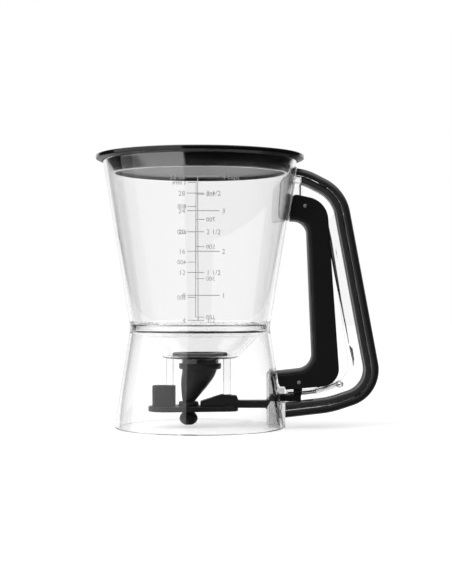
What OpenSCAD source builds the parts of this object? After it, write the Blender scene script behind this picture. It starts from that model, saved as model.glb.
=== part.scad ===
// Batter dispenser: a clear hourglass jug with a funnel floor, a soft pinch nozzle,
// a squeeze trigger that slides an arm to open it, a bow handle and a press-in lid.
// Millimetres, +Z up, origin on the jug's axis where the skirt stands, handle towards +X.

/* [Jug] */
// Height of the clear body, from the foot of the skirt to the mouth
cup_h = 183.8; // [150:0.1:225]
// Outer radius at the mouth
mouth_r = 66.9; // [60:0.1:82]
// Outer radius of the straight waist band
waist_r = 48.65; // [44:0.05:54]
// Height of the lower edge of the waist band
waist_z = 65; // [62:0.5:80]
// Height of the waist band
waist_h = 7.5; // [5:0.1:12]
// Outer radius of the skirt's foot
base_r = 58.9; // [53:0.1:71]
// Wall thickness of the clear body
wall = 2.5; // [1.8:0.1:3]

/* [Funnel bowl] */
// Radius where the bowl's shallow rim turns into its steep side
bowl_shoulder_r = 40.4; // [36:0.1:42]
// Drop of that shoulder below the waist band
bowl_shoulder_drop = 2.4; // [1:0.1:4]
// Radius where the steep side turns into the flat floor
bowl_floor_r = 25.6; // [24:0.1:29]
// Depth of the bowl's underside below the waist band
bowl_drop = 17.5; // [14:0.1:20]
// Wall thickness of the bowl
bowl_wall = 2.3; // [1.8:0.1:3]
// Radius of the outlet hole
outlet_r = 12.2; // [10:0.1:14]
// Radius of the collar under the outlet
collar_r = 13.9; // [13:0.1:16]
// Height of the collar under the outlet
collar_h = 3.4; // [2:0.1:5]
// Diameter of the two guide posts
post_d = 5; // [4:0.1:6.2]
// Distance of the tall guide post from the axis, away from the handle
post_left_x = 20.9; // [19:0.1:22]
// Distance of the short guide post from the axis, towards the handle
post_right_x = 18.6; // [17.5:0.1:20.5]

/* [Lid] */
// How far the lid's rim reaches past the mouth
lid_overhang = 4.9; // [3:0.1:8]
// Height of the rim's outer edge
lid_rim_h = 2.6; // [2:0.1:4]
// Depth of the plug below the mouth
lid_plug_depth = 9.3; // [7:0.1:12]
// How much the plug narrows from the mouth to its lower edge
lid_plug_taper = 3.6; // [2:0.1:4]
// Thickness of the lid's skin
lid_wall = 2.4; // [2:0.1:2.9]
// Depth of the dished top below the rim
lid_dish = 8.8; // [8:0.1:9.6]

/* [Bow handle] */
// Drop from the mouth to where the bow leaves the jug
bow_drop = 10.8; // [9:0.1:14]
// How far the bow's shoulder stands out from the jug
shoulder_out = 32.2; // [29:0.1:39]
// Drop from the mouth to the bow's shoulder
shoulder_drop = 23.9; // [21:0.1:27]
// How far the bow's heel stands out from the skirt
heel_out = 65.2; // [58:0.1:78]
// Height of the bow's heel
heel_z = 26.3; // [24.5:0.1:30]
// Height at which the bow meets the skirt
foot_z = 12.1; // [11:0.1:12.6]
// Width of the bow across the palm
bow_w = 22; // [18:0.5:26]
// Thickness of the soft grip outside the seam
grip_t = 6; // [5:0.1:7]
// Thickness of the covers inside the seam
cover_t = 4; // [3.8:0.1:5]
// Thickness of the clear seam flange between grip and covers
seam_t = 1; // [0.8:0.1:1.6]
// Thickness of the clear centre plate of the handle
plate_t = 3; // [2.4:0.1:3.6]

/* [Trigger] */
// How far the pivot pin stands out from the jug
pivot_out = 10.3; // [9:0.1:12]
// Drop from the mouth to the pivot pin
pivot_drop = 31.7; // [30:0.1:34]
// How far the link pin stands out from the skirt
link_out = 13.9; // [13:0.1:16]
// Height of the link pin
link_z = 31.4; // [30:0.1:34]
// Width of the trigger
trigger_w = 20; // [18:0.1:21]
// Thickness of the trigger's side walls and front wall
trigger_wall = 2.4; // [2:0.1:3]
// Thickness of the soft finger skin
skin_t = 3; // [2:0.1:3.6]
// Diameter of the pivot pin and of the link pin
pin_d = 2.5; // [2:0.1:3]
// Diameter of the return spring's wire
wire_d = 1.1; // [0.9:0.1:1.3]
// Number of turns of the return spring
spring_turns = 3; // [2:1:3]

/* [Slider and nozzle] */
// Travel of the slider from closed to open
travel = 7.9; // [6.5:0.1:9.5]
// Width of the slider's bar
bar_w = 10; // [9:0.5:12]
// Height of the slider's bar
bar_h = 5; // [4:0.1:5.6]
// Height of the underside of the slider's tray
tray_z = 11; // [10.8:0.1:12]
// Thickness of the slider's tray
tray_t = 3.5; // [2.6:0.1:4]
// Half width of the tray round the tall guide box
tray_r = 13; // [11:0.1:15]
// Radius of the nozzle's neck where the slider holds it
neck_r = 4; // [3.4:0.1:4.6]
// Radius of the nozzle's bulb
bulb_r = 6.3; // [5.4:0.1:7]
// Radius of the nozzle's lip on the bowl's floor
lip_r = 19; // [16:0.1:21]
// Wall thickness of the nozzle
nozzle_wall = 1.6; // [1.2:0.1:2]

/* [Fits] */
// Glue gap between clear pieces
bond_gap = 0.02; // [0.01:0.01:0.05]
// Radial clearance of a turning pin
run_gap = 0.05; // [0.02:0.01:0.1]
// Gap between pieces that move past each other
slide_gap = 0.3; // [0.2:0.05:0.5]
// Gap between the trigger's upper end and the jug
cup_gap = 1.6; // [1.5:0.1:2]

/* [Hidden] */
$fn = 96;
ARC_STEP = 9;
FAR = 400;

// ---- heights and places that several pieces share ----
waist_top = waist_z + waist_h;
cup_slope = (mouth_r - waist_r) / (cup_h - waist_top);
skirt_slope = (base_r - waist_r) / waist_z;

// Outer radius of the jug at a height
function jug_r(z) = z < waist_z ? base_r - skirt_slope * z
    : z < waist_top ? waist_r
    : waist_r + cup_slope * (z - waist_top);

bowl_z = waist_z - bowl_drop;
bowl_floor_z = bowl_z + bowl_wall;
collar_z = bowl_z - collar_h;
post_r = post_d / 2;

pivot_z = cup_h - pivot_drop;
pivot = [jug_r(pivot_z) + pivot_out, pivot_z];
link = [jug_r(link_z) + link_out, link_z];
pin_r = pin_d / 2;

// ---- outlines with rounded corners ----
function unit(v) = v / norm(v);
function turned(v, a) = [v[0] * cos(a) - v[1] * sin(a), v[0] * sin(a) + v[1] * cos(a)];
function reversed(list) = [for (i = [len(list) - 1 : -1 : 0]) list[i]];
// Unit normal on the left of the way from a to b
function left_of(a, b) = turned(unit(b - a), 90);

// Stations [point, left normal] on the arc of radius r that rounds the corner b
function arc_stations(a, b, c, r) =
    let (u = unit(a - b),
         v = unit(c - b),
         half = acos(u * v) / 2,
         way = cross(b - a, c - b) > 0 ? 1 : -1,
         centre = b + unit(u + v) * r / sin(half),
         sweep = 180 - 2 * half,
         count = max(2, ceil(sweep / ARC_STEP)),
         start = left_of(a, b))
    [for (i = [0 : count])
        let (n = turned(start, way * sweep * i / count))
        [centre - way * r * n, n]];

// Stations along an open line of corners, each inner corner rounded by its radius
function run_stations(p, radii) =
    let (last = len(p) - 1)
    concat([[p[0], left_of(p[0], p[1])]],
           [for (i = [1 : last - 1])
               each arc_stations(p[i - 1], p[i], p[i + 1], radii[i - 1])],
           [[p[last], left_of(p[last - 1], p[last])]]);

// Points at a distance to the left of a line of stations
function beside(stations, distance) = [for (s = stations) s[0] + distance * s[1]];

// Closed strip between two distances from a line of stations
function strip(stations, d0, d1) =
    concat(beside(stations, d1), reversed(beside(stations, d0)));

// Closed outline whose corners are rounded; a radius of 0 leaves a corner sharp
function rounded(p, radii) =
    let (n = len(p))
    [for (i = [0 : n - 1])
        each radii[i] == 0 ? [p[i]]
            : [for (s = arc_stations(p[(i + n - 1) % n], p[i], p[(i + 1) % n], radii[i])) s[0]]];

// Outline in the XZ plane made a slab from y0 to y1
module slab(outline, y0, y1) {
    translate([0, y1, 0]) rotate([90, 0, 0]) linear_extrude(y1 - y0) polygon(outline);
}

// Slab centred on the XZ plane
module mid_slab(outline, width) {
    slab(outline, -width / 2, width / 2);
}

// Cylinder along Y about a point of the XZ plane
module cross_pin(at, r, y0, y1) {
    translate([at[0], y1, at[1]]) rotate([90, 0, 0]) cylinder(r = r, h = y1 - y0);
}

// Tube or bar whose rings of points are joined and capped
module lofted(rings) {
    sides = len(rings[0]);
    last = len(rings) - 1;
    polyhedron(
        points = [for (ring = rings) each ring],
        faces = concat(
            [[for (i = [0 : sides - 1]) i]],
            [[for (i = [sides - 1 : -1 : 0]) last * sides + i]],
            [for (k = [0 : last - 1], i = [0 : sides - 1])
                let (j = (i + 1) % sides)
                each [[k * sides + i, (k + 1) * sides + i, (k + 1) * sides + j],
                      [k * sides + i, (k + 1) * sides + j, k * sides + j]]]));
}

// ---- jug ----
module cup() {
    color([0.93, 0.95, 0.96, 0.35])
    rotate_extrude() polygon(rounded(
        [[waist_r - wall, waist_z], [waist_r, waist_z], [waist_r, waist_top],
         [mouth_r, cup_h], [mouth_r - wall, cup_h], [waist_r - wall, waist_top]],
        [0, 0, 3, wall / 3, wall / 3, 3]));
}

// The skirt's side opening: a tunnel that the arm passes and the trigger's end moves in
port_face_x = base_r - 0.6;
port_inner_x = base_r - 12.3;
// Radius of the tunnel's rounded inner end
port_inner_r = 5;
port_wall = 2.2;
port_half = bow_w / 2 - port_wall;
port_top = link_z + 6.4;
port_corner_r = 6;
// Step between the skirt's face and the tunnel's mouth above the cheeks
port_reveal = 0.3;
// Top of the two cheeks that stand out below the trigger's end
cheek_top = link_z - 4;
// Top of the trigger's lower end
trigger_foot_top = link_z + 7.5;
// Sill that the foot of the bow is bonded to
sill_z = foot_z + 5.2;
sill_t = 2;
// Lower edge of the opening through the skirt's own wall
port_sill_z = tray_z + 1.8;

// Arch in the YZ plane, made a bar along X
module arch_bar(half, top, corner_r, x0, x1, z0) {
    translate([x0, 0, 0]) rotate([90, 0, 90]) linear_extrude(x1 - x0)
        polygon(rounded([[-half, z0], [half, z0], [half, top], [-half, top]],
                        [0, 0, corner_r, corner_r]));
}

module skirt_cone(inset, over) {
    translate([0, 0, -over])
        cylinder(r1 = base_r + skirt_slope * over - inset, r2 = waist_r - inset, h = waist_z + over);
}

module skirt() {
    color([0.93, 0.95, 0.96, 0.35]) {
        difference() {
            rotate_extrude() polygon(rounded(
                [[base_r - wall, 0], [base_r, 0], [waist_r, waist_z], [waist_r - wall, waist_z]],
                [wall / 3, wall / 3, 0, 0]));
            arch_bar(port_half + port_wall / 2, port_top + port_wall / 2, port_corner_r, 0,
                     FAR, port_sill_z);
        }
        difference() {
            intersection() {
                arch_bar(port_half + port_wall, port_top + port_wall, port_corner_r + port_wall,
                         port_inner_x, port_face_x, 0.3);
                mid_slab(rounded([[port_inner_x, -1], [FAR, -1], [FAR, port_top + port_wall],
                                  [port_inner_x, port_top + port_wall]], [0, 0, 0, port_inner_r]), FAR);
                union() {
                    skirt_cone(port_reveal, 1);
                    translate([0, -FAR / 2, -1]) cube([FAR, FAR, cheek_top + 1]);
                }
            }
            arch_bar(port_half, port_top, port_corner_r, 0, port_face_x - sill_t, 0);
            arch_bar(port_half, port_top, port_corner_r, 0, FAR, sill_z);
        }
    }
}

// ---- funnel bowl ----
bowl_rim_r = waist_r - wall - bond_gap;
bowl_run = run_stations(
    [[bowl_rim_r, waist_top - 0.6], [bowl_rim_r, waist_z + 0.1],
     [bowl_shoulder_r, waist_z - bowl_shoulder_drop], [bowl_floor_r, bowl_z],
     [outlet_r + 0.5, bowl_z]],
    [3.2, 4, 5.5]);
// Depth of the blind holes that the guide posts are bonded into
socket_h = 1;

module funnel_bowl() {
    color([0.93, 0.95, 0.96, 0.35]) {
        difference() {
            rotate_extrude() polygon(strip(bowl_run, -bowl_wall, 0));
            translate([0, 0, bowl_z - 1]) cylinder(r = outlet_r, h = bowl_wall + 2);
            for (x = [-post_left_x, post_right_x])
                translate([x, 0, bowl_z - 1]) cylinder(r = post_r + bond_gap, h = socket_h + 1);
        }
        translate([0, 0, collar_z]) difference() {
            cylinder(r = collar_r, h = collar_h);
            translate([0, 0, -1]) cylinder(r = outlet_r, h = collar_h + 2);
        }
    }
}

// Post hanging from the bowl's underside, with a rounded lower end
module guide_post(x, end_z) {
    tip_r = 0.8;
    top = bowl_z + socket_h - bond_gap;
    color([0.93, 0.95, 0.96, 0.35]) translate([x, 0, 0]) rotate_extrude()
        polygon(rounded([[0, end_z], [post_r, end_z], [post_r, top], [0, top]],
                        [0, tip_r, 0, 0]));
}

// ---- slider arm ----
tray_top = tray_z + tray_t;
// Guide slots: the post's width, the travel and a gap at each end
slot_w = post_d + 2 * slide_gap;
slot_l = slot_w + travel;
box_wall = 1.2;
box_top = tray_top + 14.2;
box_floor = tray_top + 1.2;
ramp_top = tray_top + 8.1;
ramp_floor = tray_top + 3.6;
post_left_end = box_floor + slide_gap;
post_right_end = ramp_floor + slide_gap;
// At rest each post stands at the slot's end that is nearer the handle
box_x1 = -post_left_x + post_r + slide_gap + box_wall;
box_x0 = box_x1 - slot_l - 2 * box_wall;
ramp_slot_x1 = post_right_x + post_r + slide_gap;
ramp_x0 = ramp_slot_x1 - slot_l - 7.6;
ramp_x1 = ramp_slot_x1 + 4.9;
// Rest place of the nozzle's neck, one travel away from the axis
neck_x = -travel;
ring_r = neck_r + slide_gap + 2.9;
ring_top = tray_top + 3.2;
bar_z = tray_top - 1;
// Fork that straddles the handle's centre plate and carries the link pin's slot
fork_t = 2.8;
fork_gap = 0.8;
fork_in = plate_t / 2 + fork_gap;
fork_out = fork_in + fork_t;
fork_z = sill_z + 0.8;
fork_top = fork_z + 4.6;
fork_root_x = port_face_x - travel - 1.6;
fork_eye_r = 3.3;
fork_end_x = link[0] + 1.6;

module guide_post_left() { guide_post(-post_left_x, post_left_end); }
module guide_post_right() { guide_post(post_right_x, post_right_end); }

// Rounded slot along X, open upwards
module post_slot(x1, z0) {
    for (x = [x1 - slot_w / 2, x1 - slot_l + slot_w / 2])
        translate([x, 0, z0]) cylinder(r = slot_w / 2, h = FAR);
    translate([x1 - slot_l + slot_w / 2, -slot_w / 2, z0]) cube([slot_l - slot_w, slot_w, FAR]);
}

module slider_tray() {
    tray_x0 = box_x0 + tray_r - 2.9;
    tray_tip_r = bar_w / 2 + 2;
    tray_x1 = ramp_x1 - tray_tip_r;
    lean = asin((tray_r - tray_tip_r) / (tray_x1 - tray_x0));
    translate([0, 0, tray_z]) linear_extrude(tray_t) polygon(concat(
        [for (a = [90 - lean : 6 : 270 + lean]) [tray_x0, 0] + tray_r * [cos(a), sin(a)]],
        [for (a = [-90 + lean : 9 : 90 - lean]) [tray_x1, 0] + tray_tip_r * [cos(a), sin(a)]]));
}

module slider_arm() {
    box_half = slot_w / 2 + box_wall + 2;
    bar_root_x = ramp_x1 - 8;
    color([0.1, 0.1, 0.1]) difference() {
        union() {
            slider_tray();
            // Tall guide box
            translate([0, 0, tray_top]) linear_extrude(box_top - tray_top)
                polygon(rounded([[box_x0, -box_half], [box_x1, -box_half],
                                 [box_x1, box_half], [box_x0, box_half]], [3, 3, 3, 3]));
            // Ring round the nozzle's neck
            translate([neck_x, 0, tray_top]) cylinder(r1 = ring_r, r2 = ring_r - 0.6, h = ring_top - tray_top);
            // Ramp-shaped guide box
            mid_slab([[ramp_x0, tray_top - 0.5], [ramp_x0, tray_top + 3.4],
                      [ramp_slot_x1 - slot_l + 7.2, ramp_top], [ramp_x1 - 1, ramp_top - 0.9],
                      [ramp_x1, ramp_top - 3.6], [ramp_x1, tray_top - 0.5]], slot_w + 2 * box_wall + 2);
            // Bar to the side opening
            translate([bar_root_x, -bar_w / 2, bar_z]) cube([fork_root_x - 3 - bar_root_x, bar_w, bar_h]);
            // Fork with its two eyes
            mid_slab([[fork_root_x - 3.01, bar_z], [fork_root_x - 0.4, fork_z], [fork_end_x, fork_z],
                      [fork_end_x, fork_top], [fork_root_x + 0.6, fork_top],
                      [fork_root_x - 3.01, bar_z + bar_h]], 2 * fork_out);
            mid_slab([[link[0] - fork_eye_r, fork_top - 1], [fork_end_x, fork_top - 1],
                      [link[0] + fork_eye_r, link[1]], [link[0] - fork_eye_r, link[1]]], 2 * fork_out);
            cross_pin(link, fork_eye_r, -fork_out, fork_out);
        }
        post_slot(-post_left_x + post_r + slide_gap, box_floor);
        post_slot(ramp_slot_x1, ramp_floor);
        translate([neck_x, 0, tray_z - 1]) cylinder(r = neck_r + slide_gap, h = ring_top - tray_z + 2);
        // Gap between the prongs
        translate([fork_root_x, -fork_in, 0]) cube([FAR, 2 * fork_in, FAR]);
        // Eyes, a little taller than the pin because the pin rides on an arc
        for (dz = [-0.15, 0.15])
            cross_pin(link + [0, dz], pin_r + 2 * run_gap, -FAR, FAR);
    }
}

// ---- nozzle ----
nozzle_lip_t = 2.2;
nozzle_flange_r = collar_r + 0.6;
nozzle_flange_h = 4.1;
nozzle_mouth_r = outlet_r - nozzle_wall;
nozzle_bore_r = neck_r - nozzle_wall;
nozzle_sides = 32;
flange_z = collar_z - nozzle_flange_h - bond_gap;
bulb_z = bulb_r - 0.2;
bulb_h = bulb_r - 1.4;
// Leaning body, as [height, centre, radius], from inside the flange to the neck
body_rings = [
    [flange_z + 1, 0, outlet_r - 0.2],
    [flange_z, -0.2, outlet_r - 0.2],
    [flange_z - 3.2, neck_x * 0.12, outlet_r - 0.6],
    [flange_z - 6.4, neck_x * 0.25, outlet_r - 1.2],
    [flange_z - 9.3, neck_x * 0.40, outlet_r - 2.2],
    [flange_z - 12.2, neck_x * 0.53, outlet_r - 3.3],
    [flange_z - 15.2, neck_x * 0.68, outlet_r - 4.7],
    [flange_z - 18.4, neck_x * 0.83, outlet_r - 6.1],
    [flange_z - 21.2, neck_x * 0.95, neck_r + 0.7],
    [ring_top + 0.4, neck_x, neck_r],
    [tray_z - 0.1, neck_x, neck_r]];
// Flattened ball at the tip, from its shoulder down to the drip edge
bulb_rings = [for (a = [42 : -13 : -62])
    [bulb_z + bulb_h * sin(a), neck_x, bulb_r * cos(a)]];

// Circle of points for [height, centre, radius], its radius made smaller by inset
function nozzle_ring(r, inset) =
    [for (i = [0 : nozzle_sides - 1])
        let (a = -360 * i / nozzle_sides)
        [r[1] + (r[2] - inset) * cos(a), (r[2] - inset) * sin(a), r[0]]];

// Passage: the wide mouth, the inside of the body, and the bore out of the bulb
passage_rings = concat(
    [[bowl_floor_z + nozzle_lip_t + 1, 0, nozzle_mouth_r], [flange_z + 1, 0, nozzle_mouth_r]],
    [for (i = [2 : len(body_rings) - 2])
        [body_rings[i][0], body_rings[i][1], body_rings[i][2] - nozzle_wall]],
    [[-1, neck_x, nozzle_bore_r]]);

module nozzle() {
    color([0.12, 0.12, 0.12]) difference() {
        union() {
            // Grommet: lip on the bowl's floor, neck in the outlet, flange under the collar
            rotate_extrude($fn = nozzle_sides) polygon([
                [0, flange_z], [nozzle_flange_r - 1.2, flange_z],
                [nozzle_flange_r, flange_z + 1.4], [nozzle_flange_r, collar_z - bond_gap],
                [outlet_r - bond_gap, collar_z - bond_gap],
                [outlet_r - bond_gap, bowl_floor_z + bond_gap], [lip_r, bowl_floor_z + bond_gap],
                [lip_r, bowl_floor_z + nozzle_lip_t - 1.2],
                [lip_r - 1.5, bowl_floor_z + nozzle_lip_t], [0, bowl_floor_z + nozzle_lip_t]]);
            lofted([for (r = concat(body_rings, bulb_rings)) nozzle_ring(r, 0)]);
        }
        lofted([for (r = passage_rings) nozzle_ring(r, 0)]);
    }
}

// ---- trigger outline, which the web follows ----
// Corners of the outline without the finger skin
trigger_top = pivot[1] + 6.4;
top_slope = -0.212;
trigger_corners = [
    [pivot[0] - 8.6, trigger_top - 8.6 * top_slope],
    [pivot[0] + 15, trigger_top + 15 * top_slope],
    [link[0] + 28.1, link[1] - 1.8],
    [link[0] - 16, link[1] - 5.8],
    [link[0] - 16, trigger_foot_top - skin_t],
    [link[0] + 9.3 + skin_t, link[1] + 10.6 - skin_t],
    [pivot[0] + 0.8 + skin_t, pivot[1] - 10.6 + skin_t],
    [pivot[0] - 14, pivot[1] - 10.4 + skin_t]];
// X of the trigger's straight back edge at a height
function trigger_back_x(z) =
    let (a = trigger_corners[1], b = trigger_corners[2])
    a[0] + (b[0] - a[0]) * (z - a[1]) / (b[1] - a[1]);

// ---- bow handle ----
// Corners of the seam line that the whole bow follows, from the jug round to the skirt
shoulder_z = cup_h - shoulder_drop;
bow_start_z = cup_h - bow_drop;
shoulder_x = jug_r(shoulder_z) + shoulder_out;
heel_x = jug_r(heel_z) + heel_out;
bow_run = run_stations(
    [[jug_r(bow_start_z) - 3, bow_start_z], [jug_r(bow_start_z) + 7.2, bow_start_z - 1.5],
     [shoulder_x, shoulder_z], [heel_x, heel_z], [heel_x - 30.6, foot_z + 4],
     [port_face_x - 4, foot_z]],
    [30, 26, 20, 60]);
// The way runs clockwise, so the outside of the bow lies on its left
seam_half = seam_t / 2;
core_w = 8;
// How far the core reaches into the covers and into the grip
core_in = 2.4;
core_out = 3.6;
cover_x0 = jug_r(bow_start_z) + 4.4;
bow_foot_x = port_face_x + slide_gap;
root_z = bow_start_z - cover_t - 0.6;
pad_t = 0.9;
pad_gap = 0.12;
pad_z0 = cup_h - 42;
pad_wide_z = cup_h - 16;
pad_z1 = cup_h - 5;
pad_low_half = 29;
pad_wide_half = 35;
pad_top_half = 8;
pad_corner_r = 5;

// Web in front of the bow, whose edge stops the trigger
web_top_z = cup_h - 42.3;
web_line = [[trigger_back_x(web_top_z) + slide_gap, web_top_z], [link[0] + 34.2, link[1] + 14.6],
            [link[0] + 33.5, link[1] + 6.6], [link[0] + 29.4, link[1] + 0.8]];
hook = [link[0] + 28.1, link[1] - 1.5];
hook_r = 2.5;
hook_w = 7;
rail_t = 3.6;
// Upper edge of the rail under the trigger, from the sill to the hook
rail_run = run_stations([[port_face_x + 1.1, link[1] - 6.3], [link[0] + 12, link[1] - 5.1],
                         [hook[0], hook[1] + hook_r]], [60]);
flange_w = 6;

// Points of the bow's seam below a height, from the top down
function seam_below(z) = [for (s = bow_run) if (s[0][1] < z) s[0]];

// Lug that holds the pivot pin, and the edge of the arm that carries it
lug_r = 3.4;
lug_arm_x = pivot[0] - 1.2;

module frame_plate() {
    // Bow, web and rail share one plate
    mid_slab(strip(bow_run, -cover_t - 0.4, 0), plate_t);
    mid_slab(concat([web_line[0]], seam_below(shoulder_z - 6), [[port_face_x + 1.1, foot_z + 2]],
                    beside(rail_run, 0), reversed([for (i = [1 : 3]) web_line[i]])), plate_t);
    // Lug that holds the pivot pin, with the arm that joins it to the jug
    mid_slab([[0, pivot[1] - lug_r], [pivot[0], pivot[1] - lug_r], [pivot[0], pivot[1] + lug_r],
              [lug_arm_x, pivot[1] + lug_r], [lug_arm_x, bow_start_z - 2], [0, bow_start_z - 2]], plate_t);
    cross_pin(pivot, lug_r, -plate_t / 2, plate_t / 2);
}

// Ridge along the web's edge, eight-sided across and deeper towards its lower end
module web_ridge() {
    depth = [[2.6, 0], [4.2, -1.5], [3.2, -0.6]];
    section = [[0, 0.8], [0.4, 1], [0.7, 1], [1, 0.5], [1, -0.5], [0.7, -1], [0.4, -1], [0, -0.8]];
    lofted([for (i = [0 : 2]) [for (q = section)
        let (p = web_line[i] + q[0] * depth[i])
        [p[0], q[1] * flange_w / 2, p[1]]]]);
}

// Two bars on the sides of the fork and inside the trigger's walls, joined beyond the fork's reach
module side_rails() {
    slot_end = link[0] + fork_eye_r + travel + 2 * slide_gap;
    difference() {
        mid_slab(strip(rail_run, -rail_t, 0), 2 * (cavity_half - slide_gap));
        translate([0, -fork_out - slide_gap, 0]) cube([slot_end, 2 * (fork_out + slide_gap), FAR]);
    }
}

// Pad that spreads the top of the bow over the jug's wall
module saddle_pad() {
    intersection() {
        rotate_extrude() polygon(
            [[waist_r, pad_z0], [jug_r(pad_z0) + pad_gap, pad_z0],
             [jug_r(pad_z0) + pad_gap + pad_t, pad_z0 + 0.6],
             [jug_r(pad_z1) + pad_gap + pad_t, pad_z1 - 0.6],
             [jug_r(pad_z1) + pad_gap, pad_z1], [waist_r, pad_z1]]);
        rotate([90, 0, 90]) linear_extrude(FAR) polygon(rounded(
            [[-pad_low_half, pad_z0 - 0.1], [pad_low_half, pad_z0 - 0.1],
             [pad_wide_half, pad_wide_z], [pad_top_half, pad_z1 + 1],
             [-pad_top_half, pad_z1 + 1], [-pad_wide_half, pad_wide_z]],
            [for (i = [0 : 5]) pad_corner_r]));
    }
}

module handle_frame() {
    color([0.93, 0.95, 0.96, 0.35]) {
        difference() {
            union() {
                frame_plate();
                // Core inside the covers and the grip, and the flange that shows as their seam
                mid_slab(strip(bow_run, -core_in, core_out), core_w);
                mid_slab(strip(bow_run, -seam_half, seam_half), bow_w - 0.8);
                // Root block between the jug and the ends of the covers
                mid_slab([[0, root_z], [cover_x0 - bond_gap, root_z],
                          [cover_x0 - bond_gap, bow_start_z - 1.5], [0, bow_start_z - 1.5]], bow_w - 6);
                // Thick edge of the web, the hook at its lower end and the rail
                web_ridge();
                cross_pin(hook, hook_r, -hook_w / 2, hook_w / 2);
                mid_slab(strip(rail_run, -rail_t, 0), 2 * (fork_in - slide_gap));
                side_rails();
                saddle_pad();
            }
            // The jug's wall and the skirt's sill
            jug_body(pad_gap);
            translate([0, -FAR / 2, -1]) cube([port_face_x + bond_gap, FAR, sill_z + 12]);
            cross_pin(pivot, pin_r + bond_gap, -FAR, FAR);
            // Hole that the return spring's upper leg hooks into
            cross_pin([pivot[0] - coil_r, pivot[1] + leg_up], wire_d / 2 + run_gap, -FAR, FAR);
        }
    }
}

// Solid body of the jug, grown by a gap, to cut what is bonded to it
module jug_body(gap) {
    rotate_extrude() polygon([[0, waist_z], [waist_r + gap, waist_z], [waist_r + gap, waist_top],
                              [mouth_r + cup_slope * 20 + gap, cup_h + 20], [0, cup_h + 20]]);
}

// Half of the palm grip's rounded outer face: [distance from the seam, y]
grip_half = bow_w / 2;
function grip_face() = [for (a = [0 : 15 : 180])
    [seam_half + bond_gap + 1.2 + (grip_t - seam_half - bond_gap - 1.2) * pow(sin(a), 0.62), grip_half * cos(a)]];

module palm_grip() {
    profile = concat([[seam_half + bond_gap, grip_half - 0.4]], grip_face(),
                     [[seam_half + bond_gap, -grip_half + 0.4]]);
    color([0.09, 0.09, 0.09]) difference() {
        lofted([for (s = bow_run) [for (q = profile)
            let (p = s[0] + q[0] * s[1]) [p[0], q[1], p[1]]]]);
        mid_slab(strip(bow_run, -1, core_out + bond_gap), core_w + 2 * bond_gap);
        jug_body(pad_t + slide_gap);
        translate([-FAR + bow_foot_x, -FAR / 2, -FAR / 2]) cube([FAR, FAR, FAR]);
    }
}

// Cover inside the bow on one side of the plate; side is -1 for the front and 1 for the back
module cover(side) {
    y_in = plate_t / 2 + bond_gap;
    y_out = grip_half - 0.5;
    edge = 1.2;
    color([0.2, 0.2, 0.2]) difference() {
        scale_y(side) union() {
            slab(strip(bow_run, -cover_t, -seam_half - bond_gap), y_in, y_out - edge);
            slab(strip(bow_run, -cover_t + edge, -seam_half - bond_gap), y_out - edge - 0.01, y_out);
        }
        mid_slab(strip(bow_run, -core_in - bond_gap, 1), core_w + 2 * bond_gap);
        // Groove that the fork's prongs move along
        translate([0, -fork_out - slide_gap, fork_z - slide_gap])
            cube([fork_end_x + travel + 2 * slide_gap, 2 * (fork_out + slide_gap), fork_top - fork_z]);
        translate([-FAR + cover_x0, -FAR / 2, sill_z + 12]) cube([FAR, FAR, FAR]);
        translate([-FAR + bow_foot_x, -FAR / 2, -FAR / 2]) cube([FAR, FAR, FAR]);
    }
}

module scale_y(side) { if (side > 0) children(); else mirror([0, 1, 0]) children(); }
module cover_front() { cover(-1); }
module cover_back() { cover(1); }

// ---- trigger ----
// Corner radii: at the top and the bottom of the back, at the top and the bottom of the finger face
back_top_r = 16;
back_low_r = 12;
finger_top_r = 12;
finger_low_r = 13;
trigger_outline = rounded(trigger_corners,
                          [4, back_top_r, back_low_r, 0, 0, finger_low_r, finger_top_r, 0]);
// Line of the finger face, from the jug down to the tunnel
finger_run = run_stations([for (i = [7, 6, 5, 4]) trigger_corners[i]], [finger_top_r, finger_low_r]);
trigger_half = trigger_w / 2;
cavity_half = trigger_half - trigger_wall;
// Hollow of the channel, open at the back and below
cavity = rounded([
    [pivot[0] - 20, trigger_top - 20 * top_slope - trigger_wall],
    [trigger_back_x(pivot[1]) - trigger_wall, trigger_top + 13 * top_slope - trigger_wall],
    [trigger_back_x(pivot[1] - 8) - trigger_wall, pivot[1] - 8],
    [pivot[0] + 40, pivot[1] - 9],
    [link[0] + 60, link[1] - 30],
    [link[0] - 30, link[1] - 30],
    [link[0] - 30, trigger_foot_top - skin_t - trigger_wall],
    [link[0] + 9.3 + skin_t + trigger_wall, link[1] + 10.6 - skin_t - trigger_wall],
    [pivot[0] + 0.8 + skin_t + trigger_wall, pivot[1] - 10.6 + skin_t + trigger_wall],
    [pivot[0] - 20, pivot[1] - 10.4 + skin_t + trigger_wall]],
    [0, back_top_r - trigger_wall, 0, 0, 0, 0, 2, finger_low_r - trigger_wall,
     finger_top_r - trigger_wall, 0]);
boss_r = 2.2;
boss_gap = 0.4;
rib_t = 1.5;
rib_count = 4;
skirt_gap = 0.9;
// The trigger's foot dips as it swings out over the cheeks
cheek_gap = 1.1;
ledge_x = 5.5;

// Bosses that carry a pin between a side wall and what it holds in the middle
module pin_bosses(at, y_in) {
    for (side = [-1, 1])
        scale_y(side) cross_pin(at, boss_r, y_in + boss_gap, cavity_half + 0.01);
}

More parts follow.
